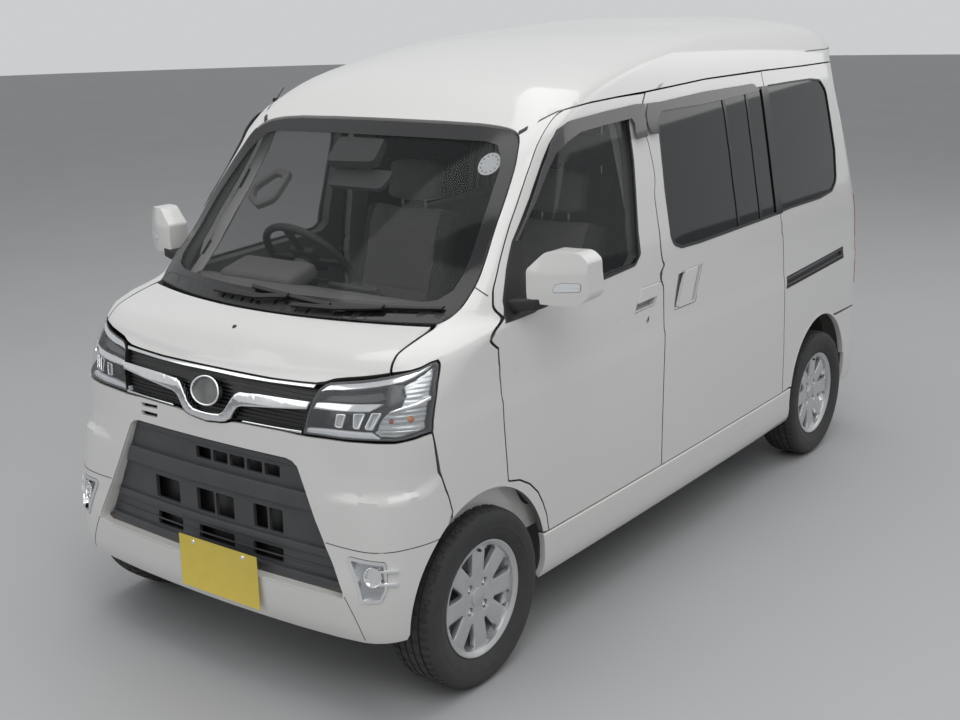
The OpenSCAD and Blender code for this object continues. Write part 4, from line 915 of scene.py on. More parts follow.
def makeAlloy():
    w = wheel
    holes = []
    for k in range(w["spokes"]):
        a = 2 * math.pi * (k + 0.5) / w["spokes"]
        c, s = math.cos(a), math.sin(a)
        tip, foot, half = w["windowTip"] / 1000, w["windowFoot"] / 1000, w["windowHalf"] / 1000
        shape = rounded([(tip, -0.004), (foot - 0.012, -half), (foot - 0.002, -half * 0.5), (foot, 0),
                         (foot - 0.002, half * 0.5), (foot - 0.012, half), (tip, 0.004)],
                        [0.003, 0.006, 0, 0, 0, 0.006, 0.003], n=3)
        holes.append([(p * c - q * s, p * s + q * c) for p, q in shape])
    for k in range(4):
        a = math.pi * k / 2 + math.pi / 4
        holes.append(ring(w["nutCircle"] / 1000 * math.cos(a), w["nutCircle"] / 1000 * math.sin(a),
                          0.0128, 0.0128, 20))
    bm = flatPanel(ring(0, 0, 0.163, 0.163, 96), holes, 0.017, 0, 0.0028)
    gridCut(bm, 0.02, 0.02)
    for v in bm.verts:
        v.co = Vector((v.co.x, faceHeight(math.hypot(v.co.x, v.co.y) * 1000) + v.co.z, -v.co.y))
    bmesh.ops.recalc_face_normals(bm, faces=bm.faces[:])
    return setMat(bm, 0)


def wheelMatrix(x, s):
    m = Matrix.Translation((x / 1000, s * van["track"] / 2000, wheel["radius"] / 1000))
    return m @ Matrix.Diagonal((1, s, 1, 1))


for axle, x in (("front", frontX), ("rear", rearX)):
    for s, tag in ((1, "left"), (-1, "right")):
        body = "wheel_%s_%s" % (axle, tag)
        place = wheelMatrix(x, s)
        bm = makeTyre()
        bm.transform(place)
        bmesh.ops.recalc_face_normals(bm, faces=bm.faces[:])
        addMesh("tyre_%s_%s_tread" % (axle, tag), bm, body, [tyreRubber], 32, False,
                ["tyre_%s_%s" % (axle, tag)])
        parts = [setMat(spun(rimHalf, 96, True), 0), makeAlloy(),
                 rod(0.0285, 0.010, (0, 0.0435, 0), segments=40, bevel=0.002),
                 rod(0.062, 0.052, (0, 0.012, 0), segments=48, bevel=0.003, index=2),
                 rod(0.112, 0.010, (0, -0.015, 0), segments=64, bevel=0.0015, index=1),
                 rod(0.0045, 0.03, (0, 0.046, 0.150), segments=12, index=3)]
        for k in range(4):
            a = math.pi * k / 2 + math.pi / 4
            spot = (0.05 * math.cos(a), 0.0330, -0.05 * math.sin(a))
            parts.append(rod(0.0090, 0.014, spot, segments=6, bevel=0.001, index=4))
            parts.append(rod(0.0125, 0.004, (spot[0], 0.027, spot[2]), segments=20, index=2))
        if axle == "front":
            parts.append(rod(0.070, 0.03, (0, -0.028, 0), segments=40, bevel=0.003, index=2))
        bm = merged(parts)
        bm.transform(place)
        bmesh.ops.recalc_face_normals(bm, faces=bm.faces[:])
        addMesh("alloy_%s_%s" % (axle, tag), bm, body, [alloy, discMetal, castMetal, black, chrome], 35,
                False, ["rim_%s_%s" % (axle, tag)])
print("stage: wheels made")


# Mirrors, visors, handles, rails, skirts and bumpers on the sides.
def mapped(bm, func, s=1):
    for v in bm.verts:
        p = func(v.co.copy())
        v.co = Vector((p[0], s * p[1], p[2]))
    bmesh.ops.recalc_face_normals(bm, faces=bm.faces[:])
    return bm


def mirrorAt(p):
    t = (p.x - 0.7515) / 0.178
    slope = 0.20 * max(0, p.y - 1.216) + 0.10 * max(0, 1.165 - p.y)
    back = -p.z / 0.082
    return (1.0985 + (14 * t - 80 * t * t) / 1000 + p.z - slope * (1 - back * 0.5), p.x, p.y)


mirrorOutline = rounded([(0.755, 1.130), (0.895, 1.124), (0.926, 1.152), (0.918, 1.250), (0.897, 1.275),
                         (0.812, 1.280), (0.754, 1.224)],
                        [0.016, 0.04, 0.03, 0.03, 0.03, 0.04, 0.016], n=6)
mirrorLens = rounded([(0.836, 1.166), (0.905, 1.168), (0.905, 1.190), (0.862, 1.192), (0.843, 1.185)],
                     0.005, n=3)
visorFront = mm([(0.631, 1282), (0.635, 1316), (0.647, 1389), (0.666, 1469), (0.698, 1538), (0.728, 1578),
                 (0.796, 1600), (1.053, 1612), (1.309, 1620), (1.406, 1618), (1.462, 1567), (1.467, 1512),
                 (1.365, 1509), (1.357, 1560), (1.330, 1577), (1.100, 1570), (0.900, 1561), (0.799, 1539),
                 (0.723, 1508), (0.695, 1467), (0.676, 1427)])
visorRear = mm([(1.437, 1617), (1.508, 1516), (1.582, 1514), (1.587, 1570), (1.610, 1584), (2.050, 1584),
                (2.674, 1600), (2.725, 1605), (2.624, 1631), (2.016, 1628), (1.557, 1616)])
sailOutline = mm([(0.617, 1284), (0.657, 1280), (0.700, 1201), (0.790, 1110), (0.880, 1090),
                  (0.874, 1076), (0.764, 1072), (0.716, 1085), (0.668, 1131), (0.623, 1208)])
bandOutline = seen("side", [(-686, 1124), (-746, 1124), (-743, 1616), (-684, 1614)], 40, True)
skirtZ = [371, 366, 352, 330, 300, 280, 262, 248, 236, 227, 223]
skirtTop, skirtLow = 371, 224


def archSide(cx, cz, r, front):
    # the arch's edge between the skirt's lower and upper edge
    z = np.linspace(skirtLow, skirtTop, 8)
    x = cx + (1 if front else -1) * np.sqrt(r * r - (z - cz) ** 2)
    return list(zip(x.tolist(), z.tolist()))


skirtOutline = seen("side", dense(archSide(frontX, 300, 306, False)[::-1], 40)
                    + dense(archSide(rearX, 324, 306, True), 40), 60, True)


def skirtOut(u, z):
    ledge = 3.2 * np.clip((373 - z) / 8, 0, 1)
    return ledge + 1.8 * np.exp(-((z - 285) / 14) ** 2)


for side, tag, s in ((left, "left", 1), (right, "right", -1)):
    door = "door_front_" + tag
    bm = flatPanel(mirrorOutline, [], 0.082, 0, 0.030, 6)
    gridCut(bm, 0.012, 0.012)
    mapped(bm, mirrorAt, s)
    addMesh("mirror_head_" + tag, bm, door, [paint, black, paint], 35, False, ["mirror_" + tag])
    bm = flatPanel(grown(mirrorOutline, -0.010), [], 0.004, -0.0795, 0.001)
    mapped(gridCut(bm, 0.03, 0.03), mirrorAt, s)
    addMesh("mirror_glass_" + tag, bm, door, [mirrorMetal], 35)
    bm = flatPanel(mirrorLens, [], 0.006, 0.0012, 0.001)
    mapped(gridCut(bm, 0.012, 0.0022), mirrorAt, s)
    for v in bm.verts:
        v.co.x += 0.0005 * math.sin(v.co.z * 1150)
    addMesh("mirror_lamp_" + tag, bm, door, [lampWhite], 35)
    bm = flatPanel(grown(mirrorLens, 0.0022), [grown(mirrorLens, -0.0004)], 0.006, 0.0003, 0.0004)
    mapped(gridCut(bm, 0.02, 0.02), mirrorAt, s)
    addMesh("mirror_lamp_rim_" + tag, bm, door, [satin], 35)
    bm = block((1, 1, 1), (0, 0, 0), 0)

    def footAt(p):
        k = p.y + 0.5
        return (1.086 - 0.016 * k + p.x * (0.044 + 0.008 * k), 0.680 + 0.118 * k,
                1.107 + 0.022 * k + p.z * (0.046 - 0.012 * k))
    mapped(bm, footAt, s)
    bmesh.ops.bevel(bm, geom=bm.edges[:], offset=0.007, segments=3, profile=0.5, affect="EDGES", material=-1)
    addMesh("mirror_foot_" + tag, bm, door, [black], 40)
    panel("mirror_sail_" + tag, side(sailOutline), [], door, [black], 0.008, top=0.003, bevel=0.002,
          step=0.03)
    panel("visor_front_" + tag, side(visorFront), [], door, [visorPlastic], 0.003, top=0.016,
          bevel=0.001, step=0.03, relief=lambda u, z: -8 * np.clip((z - 1560) / 50, 0, 1))
    panel("visor_rear_" + tag, side(visorRear), [], "van", [visorPlastic], 0.003, top=0.014,
          bevel=0.001, step=0.03, relief=lambda u, z: -8 * np.clip((z - 1590) / 40, 0, 1))
    panel("glass_band_" + tag, side(bandOutline), [], "van", [gloss], 0.003, top=0.0015,
          bevel=0.0006, step=0.05)
    panel("window_line_" + tag, side(grown(slideWindow, 0.004)), [side(grown(slideWindow, -0.005))],
          "van", [black], 0.006, top=0.0012, bevel=0.001, step=0.05)
    panel("door_line_" + tag, side(grown(frontWindow, 0.004)), [side(grown(frontWindow, -0.007))],
          door, [black], 0.010, top=0.0012, bevel=0.001, step=0.05)
    panel("quarter_line_" + tag, side(grown(quarterWindow, 0.003)), [side(grown(quarterWindow, -0.004))],
          "van", [black], 0.006, top=0.0008, bevel=0.001, step=0.05)
    for pane, u0 in (("a", -355), ("b", -548)):
        panel("slide_bar_%s_%s" % (pane, tag), side(seen("side", [(u0 - 9, 1128), (u0 + 9, 1128),
              (u0 + 9, 1606), (u0 - 9, 1606)], 60, True)), [], "van", [gloss], 0.004,
              top=-0.001, bevel=0.001, step=0.05)
    # pull handles in their bowls
    for name, hole, body, grip in (
            ("front_pull_", frontPull, door, [(1.741, 1033), (1.877, 1033), (1.879, 992), (1.743, 988)]),
            ("slide_pull_", slidePull, "van", [(2.072, 1040), (2.170, 1040), (2.166, 921), (2.068, 921)])):
        bowl = 0.024
        panel(name + "bowl_" + tag, side(grown(hole, -0.001)), [side(grown(hole, -0.006))], body,
              [paint, insideShade, paint], bowl, top=-0.0005, bevel=0.002, step=0.5)
        panel(name + "floor_" + tag, side(grown(hole, -0.004)), [], body, [bowlShade], 0.003,
              top=-bowl + 0.003, bevel=0, step=0.5)
        panel(name + "grip_" + tag, side(rounded(mm(grip), 0.010)), [], body, [paint], 0.012,
              top=0.003, bevel=0.005, step=0.5)
    panel("door_lock_" + tag, side(ring(1.850, 0.924, 0.010, 0.013, 24)), [], door, [alloy], 0.004,
          top=0.002, bevel=0.001, step=0.5)
    panel("door_key_" + tag, side(ring(1.850, 0.922, 0.004, 0.008, 12)), [], door, [black], 0.002,
          top=0.0025, bevel=0, step=0.5)
    panel("slide_rail_back_" + tag, side(grown(railHole, 0.002)), [], "van", [black], 0.003,
          top=-0.014, bevel=0, step=0.04)
    for k, z in enumerate((9, 37)):
        panel("slide_rail_%d_%s" % (k, tag), side(seen("side", [
            (-778, 815 + z - 5), (-1399, 838 + z - 5), (-1399, 838 + z + 5), (-778, 815 + z + 5)], 60, True)),
            [], "van", [greyPlastic], 0.012, top=-0.003, bevel=0.002, step=0.05)
    panel("skirt_" + tag, side(skirtOutline), [], "van", [paint, insideShade, paint], 0.020, bevel=0.003,
          step=0.04, zLines=[z / 1000 for z in skirtZ[::-1]], relief=skirtOut, stands=["side_skirts"])
    panel("arch_lip_" + tag, side(bar(seen("side", arc(rearX, 324, 309, 10, 168, 40), 500),
          seen("side", arc(rearX, 324, 300, 10, 168, 40), 500))), [], "van", [paint], 0.022,
          top=0.0015, bevel=0.0008, step=0.05)
    # the hidden posts and sills that the doors close on
    frameOutline = (mm([(0.85, 400), (0.86, 640), (0.78, 900)]) + seen("side", [(1130, 1085)], 60)
                    + mm([(0.66, 1240), (0.70, 1470), (0.80, 1610), (1.10, 1640), (1.955, 1655), (2.736, 1658),
                          (3.60, 1655)]) + seen("side", [(-1440, 1100), (-1440, 700), (-780, 660), (-776, 392),
                                                         (940, 386)], 60))
    frontDoorway = seen("side", rounded([(300, 470), (1000, 470), (1115, 640), (1135, 880), (1120, 1060),
                                         (830, 1440), (735, 1560), (330, 1580), (300, 1250)],
                                        [60, 60, 40, 40, 60, 60, 60, 30, 30]), 40, True)
    slideDoorway = seen("side", rounded([(205, 470), (205, 1250), (180, 1590), (-660, 1595), (-670, 1180),
                                         (-700, 900), (-730, 470)], 50), 40, True)
    quarterInner = grown(quarterWindow, 0.012)
    panel("side_frame_" + tag, side(frameOutline), [side(frontDoorway), side(slideDoorway),
          side(quarterInner)], "van", [paint, headliner, paint], 0.034, top=-0.052, bevel=0.004, step=0.05)
    for name, hole in (("front", frontDoorway), ("slide", slideDoorway)):
        panel("seal_%s_%s" % (name, tag), side(grown(hole, 0.010)), [side(grown(hole, -0.002))], "van",
              [rubber], 0.012, top=-0.0475, bevel=0.004, step=0.05)
    panel("door_trim_" + tag, side(seen("side", rounded([(300, 470), (1010, 470), (1100, 660), (1120, 900),
          (1090, 1040), (380, 1065), (320, 1040)], 50), 50, True)), [], door, [trimGrey], 0.012,
          top=-0.047, bevel=0.004, step=0.05)
    panel("armrest_" + tag, side(seen("side", rounded([(420, 760), (880, 760), (900, 830), (400, 820)], 22),
          50, True)), [], door, [trimDark], 0.034, top=-0.058, bevel=0.008, step=0.05)
    panel("speaker_" + tag, side(seen("side", arc(930, 570, 70, 0, 350, 30), 50, True)), [], door,
          [trimDark], 0.008, top=-0.058, bevel=0.002, step=0.05)
lid = fuelHole
panel("fuel_lid_skin", gap(lid, 0.002), [], "fuel_filler_lid", [paint, insideShade, paint], 0.004,
          bevel=0.0012, step=0.04, stands=["fuel_lid"])
# the filler recess takes the darker paint: painted shade
panel("filler_bowl", lid, [], "van", [insideShade], 0.003, top=-0.030, bevel=0, step=0.5)
panel("filler_wall", grown(lid, 0.003), [grown(lid, -0.001)], "van", [insideShade], 0.030, top=-0.003,
          bevel=0, step=0.5)
cu = sum(p[0] for p in lid) / len(lid)
panel("filler_cap", ring(cu, 0.752, 0.040, 0.037, 32), [], "van", [black], 0.024, top=-0.008,
          bevel=0.004, step=0.5)
panel("filler_grip", rounded([(cu - 0.030, 0.746), (cu + 0.030, 0.746), (cu + 0.030, 0.758),
                                  (cu - 0.030, 0.758)], 0.004), [], "van", [black], 0.012, top=-0.001,
          bevel=0.003, step=0.5)
print("stage: sides made")

# Rear end.
rearTop = seen("side", [(-1333, 586)], 60) + [(3.80, 0.586), (3.88, 0.586)] + seen("rear", [(645, 586)], 50)
rearArchLow = [p for p in archRear if p[0] > 3.4 and 0.250 < p[1] < 0.583]
rearHalf = ([(4.6, 0.634), (4.4, 0.634)] + seen("rear", [(642, 634)], 50) + rearTop[::-1] + rearArchLow
            + mm([(3.72, 246), (3.80, 238), (4.0, 236), (4.6, 236)]))
panel("rear_bumper_skin", gap(both(rearHalf), 0.002), [], "van", [paint, insideShade, paint], 0.016, bevel=0.003,
      step=0.03, stands=["rear_bumper"],
      relief=lambda u, z: 2.5 * np.clip((470 - z) / 10, 0, 1) - 2.5 * np.clip((300 - z) / 40, 0, 1))
for side, tag in ((left, "left"), (right, "right")):
    shape = tailHole
    panel("tail_shell_" + tag, side(grown(shape, 0.001)), [], "van", [black], 0.006, top=-0.018,
          bevel=0, step=0.03)
    lo, hi = min(p[0] for p in shape), max(p[0] for p in shape)
    for name, z1, z2, mat in (("stop", 900, 1100, lensRed), ("turn", 812, 894, lensAmber),
                              ("low", 692, 806, lensRed)):
        cut = rounded([(lo + 0.004, z1 / 1000), (hi - 0.004, z1 / 1000), (hi - 0.004, z2 / 1000),
                       (lo + 0.004, z2 / 1000)], 0.010, n=3)
        panel("tail_%s_%s" % (name, tag), side(cut), [], "van", [mat], 0.016, top=0.002, bevel=0.004,
              step=0.02, zStep=0.006, relief=lambda u, z: 0.35 * np.sin(z / 3.1), stands=["tail_lamps"])
    panel("rear_reflector_" + tag, side(seen("rear", rounded([(430, 400), (600, 400), (600, 432), (430, 432)], 8),
          40, True)), [], "van", [lensRed], 0.006, top=0.0045, bevel=0.0015, step=0.04)
panel("gate_line", grown(gateWindow, 0.004), [grown(gateWindow, -0.006)], "rear_gate", [black], 0.006,
      top=0.0012, bevel=0.001, step=0.05)
panel("gate_garnish", seen("rear", rounded([(-330, 975), (330, 975), (345, 1035), (-345, 1035)], 14), 40, True),
      [], "rear_gate", [chrome], 0.012, top=0.008, bevel=0.004, step=0.05)
panel("gate_grip", seen("rear", rounded([(-120, 962), (120, 962), (120, 978), (-120, 978)], 5), 40, True),
      [], "rear_gate", [black], 0.010, top=0.006, bevel=0.003, step=0.05)
panel("stop_bar", seen("rear", rounded([(-150, 1648), (150, 1648), (150, 1672), (-150, 1672)], 8), 40, True),
      [], "rear_gate", [lensRed], 0.008, top=0.003, bevel=0.002, step=0.04)
panel("rear_wiper", seen("rear", rounded([(-40, 1128), (330, 1150), (332, 1162), (-44, 1150)], 5), 40, True),
      [], "rear_gate", [black], 0.010, top=0.014, bevel=0.003, step=0.04)
panel("wiper_boss", seen("rear", arc(-40, 1139, 24, 0, 345, 24), 40, True), [], "rear_gate", [black], 0.018,
      top=0.014, bevel=0.004, step=0.5)
plateRear = seen("rear", [(-165, 760), (165, 760), (165, 925), (-165, 925)], 60, True)
panel("rear_plate", plateRear, [], "rear_gate", [plateYellow], 0.003, top=0.009, bevel=0.001, step=0.5)
panel("rear_plate_seat", grown(plateRear, 0.012), [grown(plateRear, -0.03)], "rear_gate", [black], 0.007,
      top=0.006, bevel=0.002, step=0.5)
panel("step_guard", seen("rear", [(-520, 600), (520, 600), (520, 630), (-520, 630)], 60, True), [], "van",
      [black], 0.006, top=0.003, bevel=0.0015, step=0.05)
panel("spoiler_line", both([(4.6, 1.7345), (4.3, 1.7345), (3.9, 1.733)] + seen("side", [(-1400, 1728), (-1180, 1728),
      (-1180, 1724.5), (-1400, 1724.5)], 60) + [(3.9, 1.7295), (4.3, 1.731), (4.6, 1.731)]), [], "van",
      [black], 0.0012, top=0.0006, bevel=0, step=0.04)
bm = merged([rod(0.012, 0.006, (0, 0, 0.003), "Z", 20, 0.002),
             rod(0.0022, 0.085, (0, 0, 0.046), "Z", 10)])
foot = Vector(bodyAt(-0.740, 1623.0) / 1000)
bmesh.ops.rotate(bm, matrix=Matrix.Rotation(math.radians(62), 3, (0.35, -0.94, 0)), verts=bm.verts[:])
bmesh.ops.translate(bm, vec=foot + Vector((0.002, -0.002, 0.002)), verts=bm.verts[:])
addMesh("aerial", bm, "van", [black], 40)
print("stage: rear made")


# Cabin.
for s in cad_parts["dashboard"].material_slots:
    s.material = trimGrey
wheelPlace = Matrix.Translation((0.862, -0.318, 1.108)) @ Matrix.Rotation(math.radians(-50), 4, "Y")
grip = bmesh.new()
bmesh.ops.create_circle(grip, segments=20, radius=0.0135, matrix=Matrix.Translation((0.1682, 0, 0))
                        @ Matrix.Rotation(math.pi / 2, 4, "X"))
bmesh.ops.spin(grip, geom=grip.verts[:] + grip.edges[:], axis=(0, 0, 1), cent=(0, 0, 0),
               angle=2 * math.pi, steps=72, use_merge=True)
bmesh.ops.remove_doubles(grip, verts=grip.verts[:], dist=1e-6)
setMat(grip, 0)
parts = [grip, rod(0.034, 0.030, (0, 0, -0.014), "Z", 32, 0.003, 1),
         block((0.110, 0.118, 0.024), (0.004, 0, 0.0), 0.011, 3, index=0),
         block((0.066, 0.070, 0.006), (0.004, 0, 0.0125), 0.0025, 2, index=1)]
for a in (0, 90, 180):
    turn = Matrix.Rotation(math.radians(a - 90), 3, "Z")
    spoke = block((0.112, 0.030, 0.012), (0.106, 0, -0.003), 0.0045, 3, index=0)
    inlay = block((0.060, 0.018, 0.004), (0.098, 0, 0.0035), 0.0015, 2, index=2)
    for bm in (spoke, inlay):
        bmesh.ops.rotate(bm, matrix=turn, verts=bm.verts[:])
    parts += [spoke, inlay]
bm = merged(parts)
bm.transform(wheelPlace)
bmesh.ops.recalc_face_normals(bm, faces=bm.faces[:])
addMesh("steering_wheel_grip", bm, "driver_steering_wheel", [trimDark, black, alloy], 35, False,
        ["steering_wheel"])
parts = []
for y, a in ((0.085, 24), (-0.085, -24)):
    stalk = rod(0.006, 0.11, (0.0, 0.085 if y > 0 else -0.085, -0.075), "Y", 16, 0.002, 0)
    parts.append(stalk)
bm = merged(parts)
bm.transform(wheelPlace)
addMesh("column_stalks", bm, "van", [black], 35)

# dashboard fittings: hood over the dials, vents, screen, lid line and sun visors
parts = [block((0.150, 0.330, 0.060), (1.060, -0.318, 1.092), 0.022, 4, ("Y", 14), 0),
         block((0.012, 0.290, 0.046), (0.985, -0.318, 1.076), 0.004, 2, ("Y", 24), 1),
         block((0.020, 0.230, 0.130), (0.962, 0.0, 0.955), 0.008, 3, ("Y", 7), 0),
         block((0.006, 0.186, 0.100), (0.951, 0.0, 0.962), 0.003, 2, ("Y", 7), 1),
         block((0.020, 0.210, 0.050), (0.985, 0.0, 1.055), 0.008, 3, ("Y", 30), 2),
         block((0.014, 0.340, 0.006), (0.958, 0.340, 0.985), 0.002, 2, ("Y", 5), 1),
         block((0.120, 0.320, 0.012), (1.030, 0.340, 0.882), 0.005, 2, None, 1)]
for y in (-0.560, 0.560, -0.082, 0.082):
    parts.append(block((0.020, 0.090, 0.056), (0.976, y, 1.028), 0.010, 3, ("Y", 18), 1))
    for k in range(5):
        parts.append(block((0.008, 0.078, 0.003), (0.966 + 0.003 * k, y, 1.008 + 0.0100 * k), 0.001, 1,
                           ("Y", 10), 2))
bm = merged(parts)
addMesh("dash_fittings", bm, "van", [trimGrey, gloss, trimDark], 35)
parts = []
for y in (-0.30, 0.30):
    parts.append(block((0.150, 0.360, 0.016), (0.690, y, 1.560), 0.007, 3, ("Y", -16), 0))
addMesh("sun_visors", merged(parts), "van", [headliner], 35)
panel("pillar_grab", rounded(mm([(-0.470, 1418), (-0.400, 1482), (-0.330, 1478), (-0.320, 1392),
                                 (-0.385, 1362), (-0.455, 1378)]), 0.030),
      [rounded(mm([(-0.448, 1416), (-0.396, 1462), (-0.350, 1458), (-0.342, 1404),
                   (-0.390, 1382), (-0.440, 1394)]), 0.022)], "van", [trimGrey], 0.020, top=-0.080,
      bevel=0.007, step=0.06)
addMesh("gear_selector", merged([rod(0.010, 0.13, (0.905, -0.075, 0.965), "Z", 20, 0.002, 0),
                                 block((0.045, 0.040, 0.055), (0.900, -0.075, 1.035), 0.014, 4, ("Y", 14), 0),
                                 block((0.050, 0.10, 0.10), (0.945, -0.075, 0.905), 0.012, 3, ("Y", 12), 1)]),
        "van", [trimDark, gloss], 35)


# Seats. Each pad starts as a plain form a little too small, is blown up as cloth, then gets its seams.
seatData = {"voxel": 0.012, "pressure": 4.0, "frames": 20, "cap": 0.022, "seam": 0.0055, "depth": 0.0045}


def padForm(corners, width, side, cuts=10, edge=0.07):
    # corners (x, z) of the side view in mm: low back, low front, high front, high back
    bm = bmesh.new()
    bmesh.ops.create_cube(bm, size=1)
    bmesh.ops.subdivide_edges(bm, edges=bm.edges[:], cuts=cuts, use_grid_fill=True)
    c = [Vector(p) / 1000 for p in corners]
    for v in bm.verts:
        a, b, d = v.co.x + 0.5, v.co.z + 0.5, v.co.y
        # round the four corners of the plan and of the side view
        k = 1 - edge * (2 * abs(a - 0.5)) ** 4 * (2 * abs(d)) ** 0.5
        h = 1 - edge * 1.4 * (2 * abs(d)) ** 6
        a = 0.5 + (a - 0.5) * (1 - edge * 0.6 * (2 * abs(d)) ** 5)
        low, high = c[0].lerp(c[1], a), c[3].lerp(c[2], a)
        b = 0.5 + (b - 0.5) * h
        p = low.lerp(high, b)
        rise = side * max(0, abs(d) - 0.32) / 0.18 * b / 1000
        up = (c[3] - c[0]).normalized()
        p = p + up * rise
        v.co = Vector((p.x, d * k * width / 1000, p.y))
    bmesh.ops.recalc_face_normals(bm, faces=bm.faces[:])
    return bm


def blown(name, bm):
    # voxel remesh, cloth with pressure, capped movement
    mesh = bpy.data.meshes.new(name)
    bm.to_mesh(mesh)
    bm.free()
    piece = bpy.data.objects.new(name, mesh)
    bpy.context.collection.objects.link(piece)

    def settle():
        graph = bpy.context.evaluated_depsgraph_get()
        done = bpy.data.meshes.new_from_object(piece.evaluated_get(graph))
        piece.modifiers.clear()
        piece.data = done
    voxels = piece.modifiers.new("voxels", "REMESH")
    voxels.mode, voxels.voxel_size = "VOXEL", seatData["voxel"]
    settle()
    start = np.array([v.co for v in piece.data.vertices])
    cloth_ = piece.modifiers.new("cloth", "CLOTH")
    cloth_.settings.use_pressure = True
    cloth_.settings.uniform_pressure_force = seatData["pressure"]
    cloth_.settings.effector_weights.gravity = 0
    cloth_.point_cache.frame_start, cloth_.point_cache.frame_end = 1, seatData["frames"]
    for f in range(1, seatData["frames"] + 1):
        bpy.context.scene.frame_set(f)
    settle()
    bpy.context.scene.frame_set(1)
    end = np.array([v.co for v in piece.data.vertices])
    if end.shape == start.shape:
        move = end - start
        far = np.linalg.norm(move, axis=1, keepdims=True)
        move *= np.minimum(1, seatData["cap"] / np.maximum(far, 1e-9))
        for v, p in zip(piece.data.vertices, start + move):
            v.co = p
    out = bmesh.new()
    out.from_mesh(piece.data)
    bpy.data.objects.remove(piece)
    return out


def seamed(bm, lines, fine=True):
    # subdivide once, then press the sewn lines in; lines give distance in metres to a seam
    if fine:
        bmesh.ops.subdivide_edges(bm, edges=bm.edges[:], cuts=1, use_grid_fill=True, smooth=0.6)
    bmesh.ops.smooth_vert(bm, verts=bm.verts[:], factor=0.5, use_axis_x=True, use_axis_y=True,
                          use_axis_z=True)
    bm.normal_update()
    for v in bm.verts:
        d = min(abs(line_(v.co)) for line_ in lines)
        v.co -= v.normal * seatData["depth"] * math.exp(-(d / seatData["seam"]) ** 2)
    for f in bm.faces:
        c = f.calc_center_median()
        f.material_index = 0 if abs(c.y) < lines[0].__defaults__[0] else 1
    return bm


def seatSet(width):
    half = width / 2000
    inner = half * 0.64

    def sideSeam(p, w=inner):
        return abs(p.y) - w
    squab = blown("squab", padForm([(42, 22), (470, 22), (476, 122), (40, 112)], width - 34, 14))
    squab = seamed(squab, [sideSeam, lambda p: (p.x - 0.330) if abs(p.y) < inner else 1,
                           lambda p: (p.x - 0.180) if abs(p.y) < inner else 1])
    back = blown("back", padForm([(40, 140), (128, 158), (4, 612), (-76, 592)], width - 44, 0))
    for v in back.verts:
        bulge = max(0, abs(v.co.y) - inner) * 0.16
        v.co.x += bulge
    back = seamed(back, [sideSeam, lambda p: (p.z - 0.470) if abs(p.y) < inner else 1,
                         lambda p: (p.z - 0.300) if abs(p.y) < inner else 1])
    head = blown("head", padForm([(-66, 612), (6, 622), (-22, 762), (-94, 748)], 226, 0, 8, 0.10))

    def headSeam(p, w=9.0):
        return p.x + 0.046 + (p.z - 0.69) * 0.2
    head = seamed(head, [headSeam])
    return squab, back, head


for row, x0, yy, width in (("front", frontX - 967, 318, 500), ("rear", rearX + 336, 296, 580)):
    made = seatSet(width)
    for s, tag in ((1, "left"), (-1, "right")):
        place = Matrix.Translation((x0 / 1000, s * yy / 1000, 0.6253))
        names = dict(zip(("squab", "back", "head"), made))
        for part, source in names.items():
            bm = source.copy()
            bm.transform(place)
            piece = addMesh("seat_%s_%s_%s" % (row, part, tag), bm, "van", [cloth, clothDark], 180)
            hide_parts(row + "_seats" if row == "front" else "rear_seat")
        frameBits = [block((0.44, width / 1000 - 0.05, 0.024), (0.258, 0, 0.013), 0.006, 2, index=0),
                     rod(0.006, 0.06, (-0.030, 0.055, 0.610), "Z", 14, 0, 1),
                     rod(0.006, 0.06, (-0.030, -0.055, 0.610), "Z", 14, 0, 1),
                     block((0.05, 0.016, 0.13), (0.060, width / 2000 - 0.012, 0.110), 0.006, 2, ("Y", 12), 0),
                     block((0.05, 0.016, 0.13), (0.060, 0.012 - width / 2000, 0.110), 0.006, 2, ("Y", 12), 0)]
        bm = merged(frameBits)
        bm.transform(place)
        addMesh("seat_%s_frame_%s" % (row, tag), bm, "van", [trimDark, chrome], 35)
    for bm in made:
        bm.free()
print("stage: cabin made")

# Floor, light and camera.
bm = bmesh.new()
bmesh.ops.create_circle(bm, cap_ends=True, radius=40, segments=64)
ground = finish("studioFloor", (0.50, 0.50, 0.50), 0.55, 0, 0.02, 0.6)
mesh = bpy.data.meshes.new("studio_floor")
bm.to_mesh(mesh)
bm.free()
mesh.materials.append(ground)
floorPiece = bpy.data.objects.new("studio_floor", mesh)
bpy.context.collection.objects.link(floorPiece)

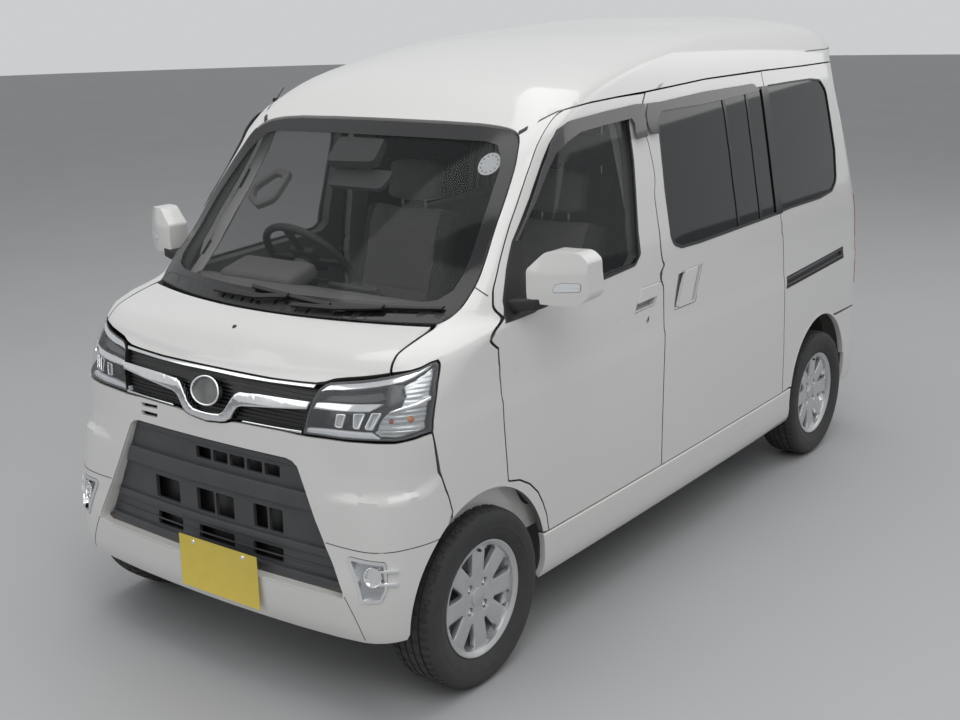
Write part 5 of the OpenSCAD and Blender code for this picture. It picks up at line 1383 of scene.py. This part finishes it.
lamps = [("key", (4.5, 4.5, 6.5), (0, 0, 0.8), 5.0, 185), ("fill", (6.5, -3.5, 4.0), (0, 0, 0.9), 5.0, 80),
         ("top", (0.0, 0.0, 7.5), (0, 0, 0), 7.0, 230), ("back", (-6.5, 4.5, 4.5), (0, 0, 1.0), 5.0, 90)]
for name, place, aim, size, power in lamps:
    light = bpy.data.lights.new(name, "AREA")
    light.energy, light.size = power, size
    obj = bpy.data.objects.new(name, light)
    direction = Vector(aim) - Vector(place)
    obj.matrix_world = Matrix.Translation(place) @ direction.to_track_quat("-Z", "Y").to_matrix().to_4x4()
    bpy.context.collection.objects.link(obj)

world = bpy.data.worlds.new("studio")
bpy.context.scene.world = world
world.use_nodes = True
nodes, links = world.node_tree.nodes, world.node_tree.links
nodes.clear()
out = nodes.new("ShaderNodeOutputWorld")
soft, pale = nodes.new("ShaderNodeBackground"), nodes.new("ShaderNodeBackground")
soft.inputs["Color"].default_value, soft.inputs["Strength"].default_value = (0.80, 0.84, 0.90, 1), 0.30
pale.inputs["Color"].default_value, pale.inputs["Strength"].default_value = (0.60, 0.61, 0.62, 1), 1.0
path, mix = nodes.new("ShaderNodeLightPath"), nodes.new("ShaderNodeMixShader")
most, seenRay = nodes.new("ShaderNodeMath"), nodes.new("ShaderNodeMath")
most.operation = seenRay.operation = "MAXIMUM"
links.new(path.outputs["Is Camera Ray"], most.inputs[0])
links.new(path.outputs["Is Glossy Ray"], most.inputs[1])
links.new(most.outputs[0], seenRay.inputs[0])
links.new(path.outputs["Is Transmission Ray"], seenRay.inputs[1])
links.new(seenRay.outputs[0], mix.inputs["Fac"])
links.new(soft.outputs[0], mix.inputs[1])
links.new(pale.outputs[0], mix.inputs[2])
links.new(mix.outputs[0], out.inputs["Surface"])

yaw, pitch, roll = 3.78338657, 0.26929715, -0.02248189
ahead = Vector((math.cos(yaw) * math.cos(pitch), math.sin(yaw) * math.cos(pitch), -math.sin(pitch)))
aside = ahead.cross(Vector((0, 0, 1))).normalized()
above = aside.cross(ahead)
camX = aside * math.cos(roll) + above * math.sin(roll)
camY = above * math.cos(roll) - aside * math.sin(roll)
camData = bpy.data.cameras.new("camera")
camData.lens, camData.sensor_width = 48.825, 36
camera = bpy.data.objects.new("camera", camData)
camera.matrix_world = Matrix.Translation((4.06564, 2.80322, 1.95769)) @ Matrix(
    (camX, camY, -ahead)).transposed().to_4x4()
bpy.context.collection.objects.link(camera)
bpy.context.scene.camera = camera
bpy.context.scene.view_settings.view_transform = "Standard"

print("stage: scene ready")
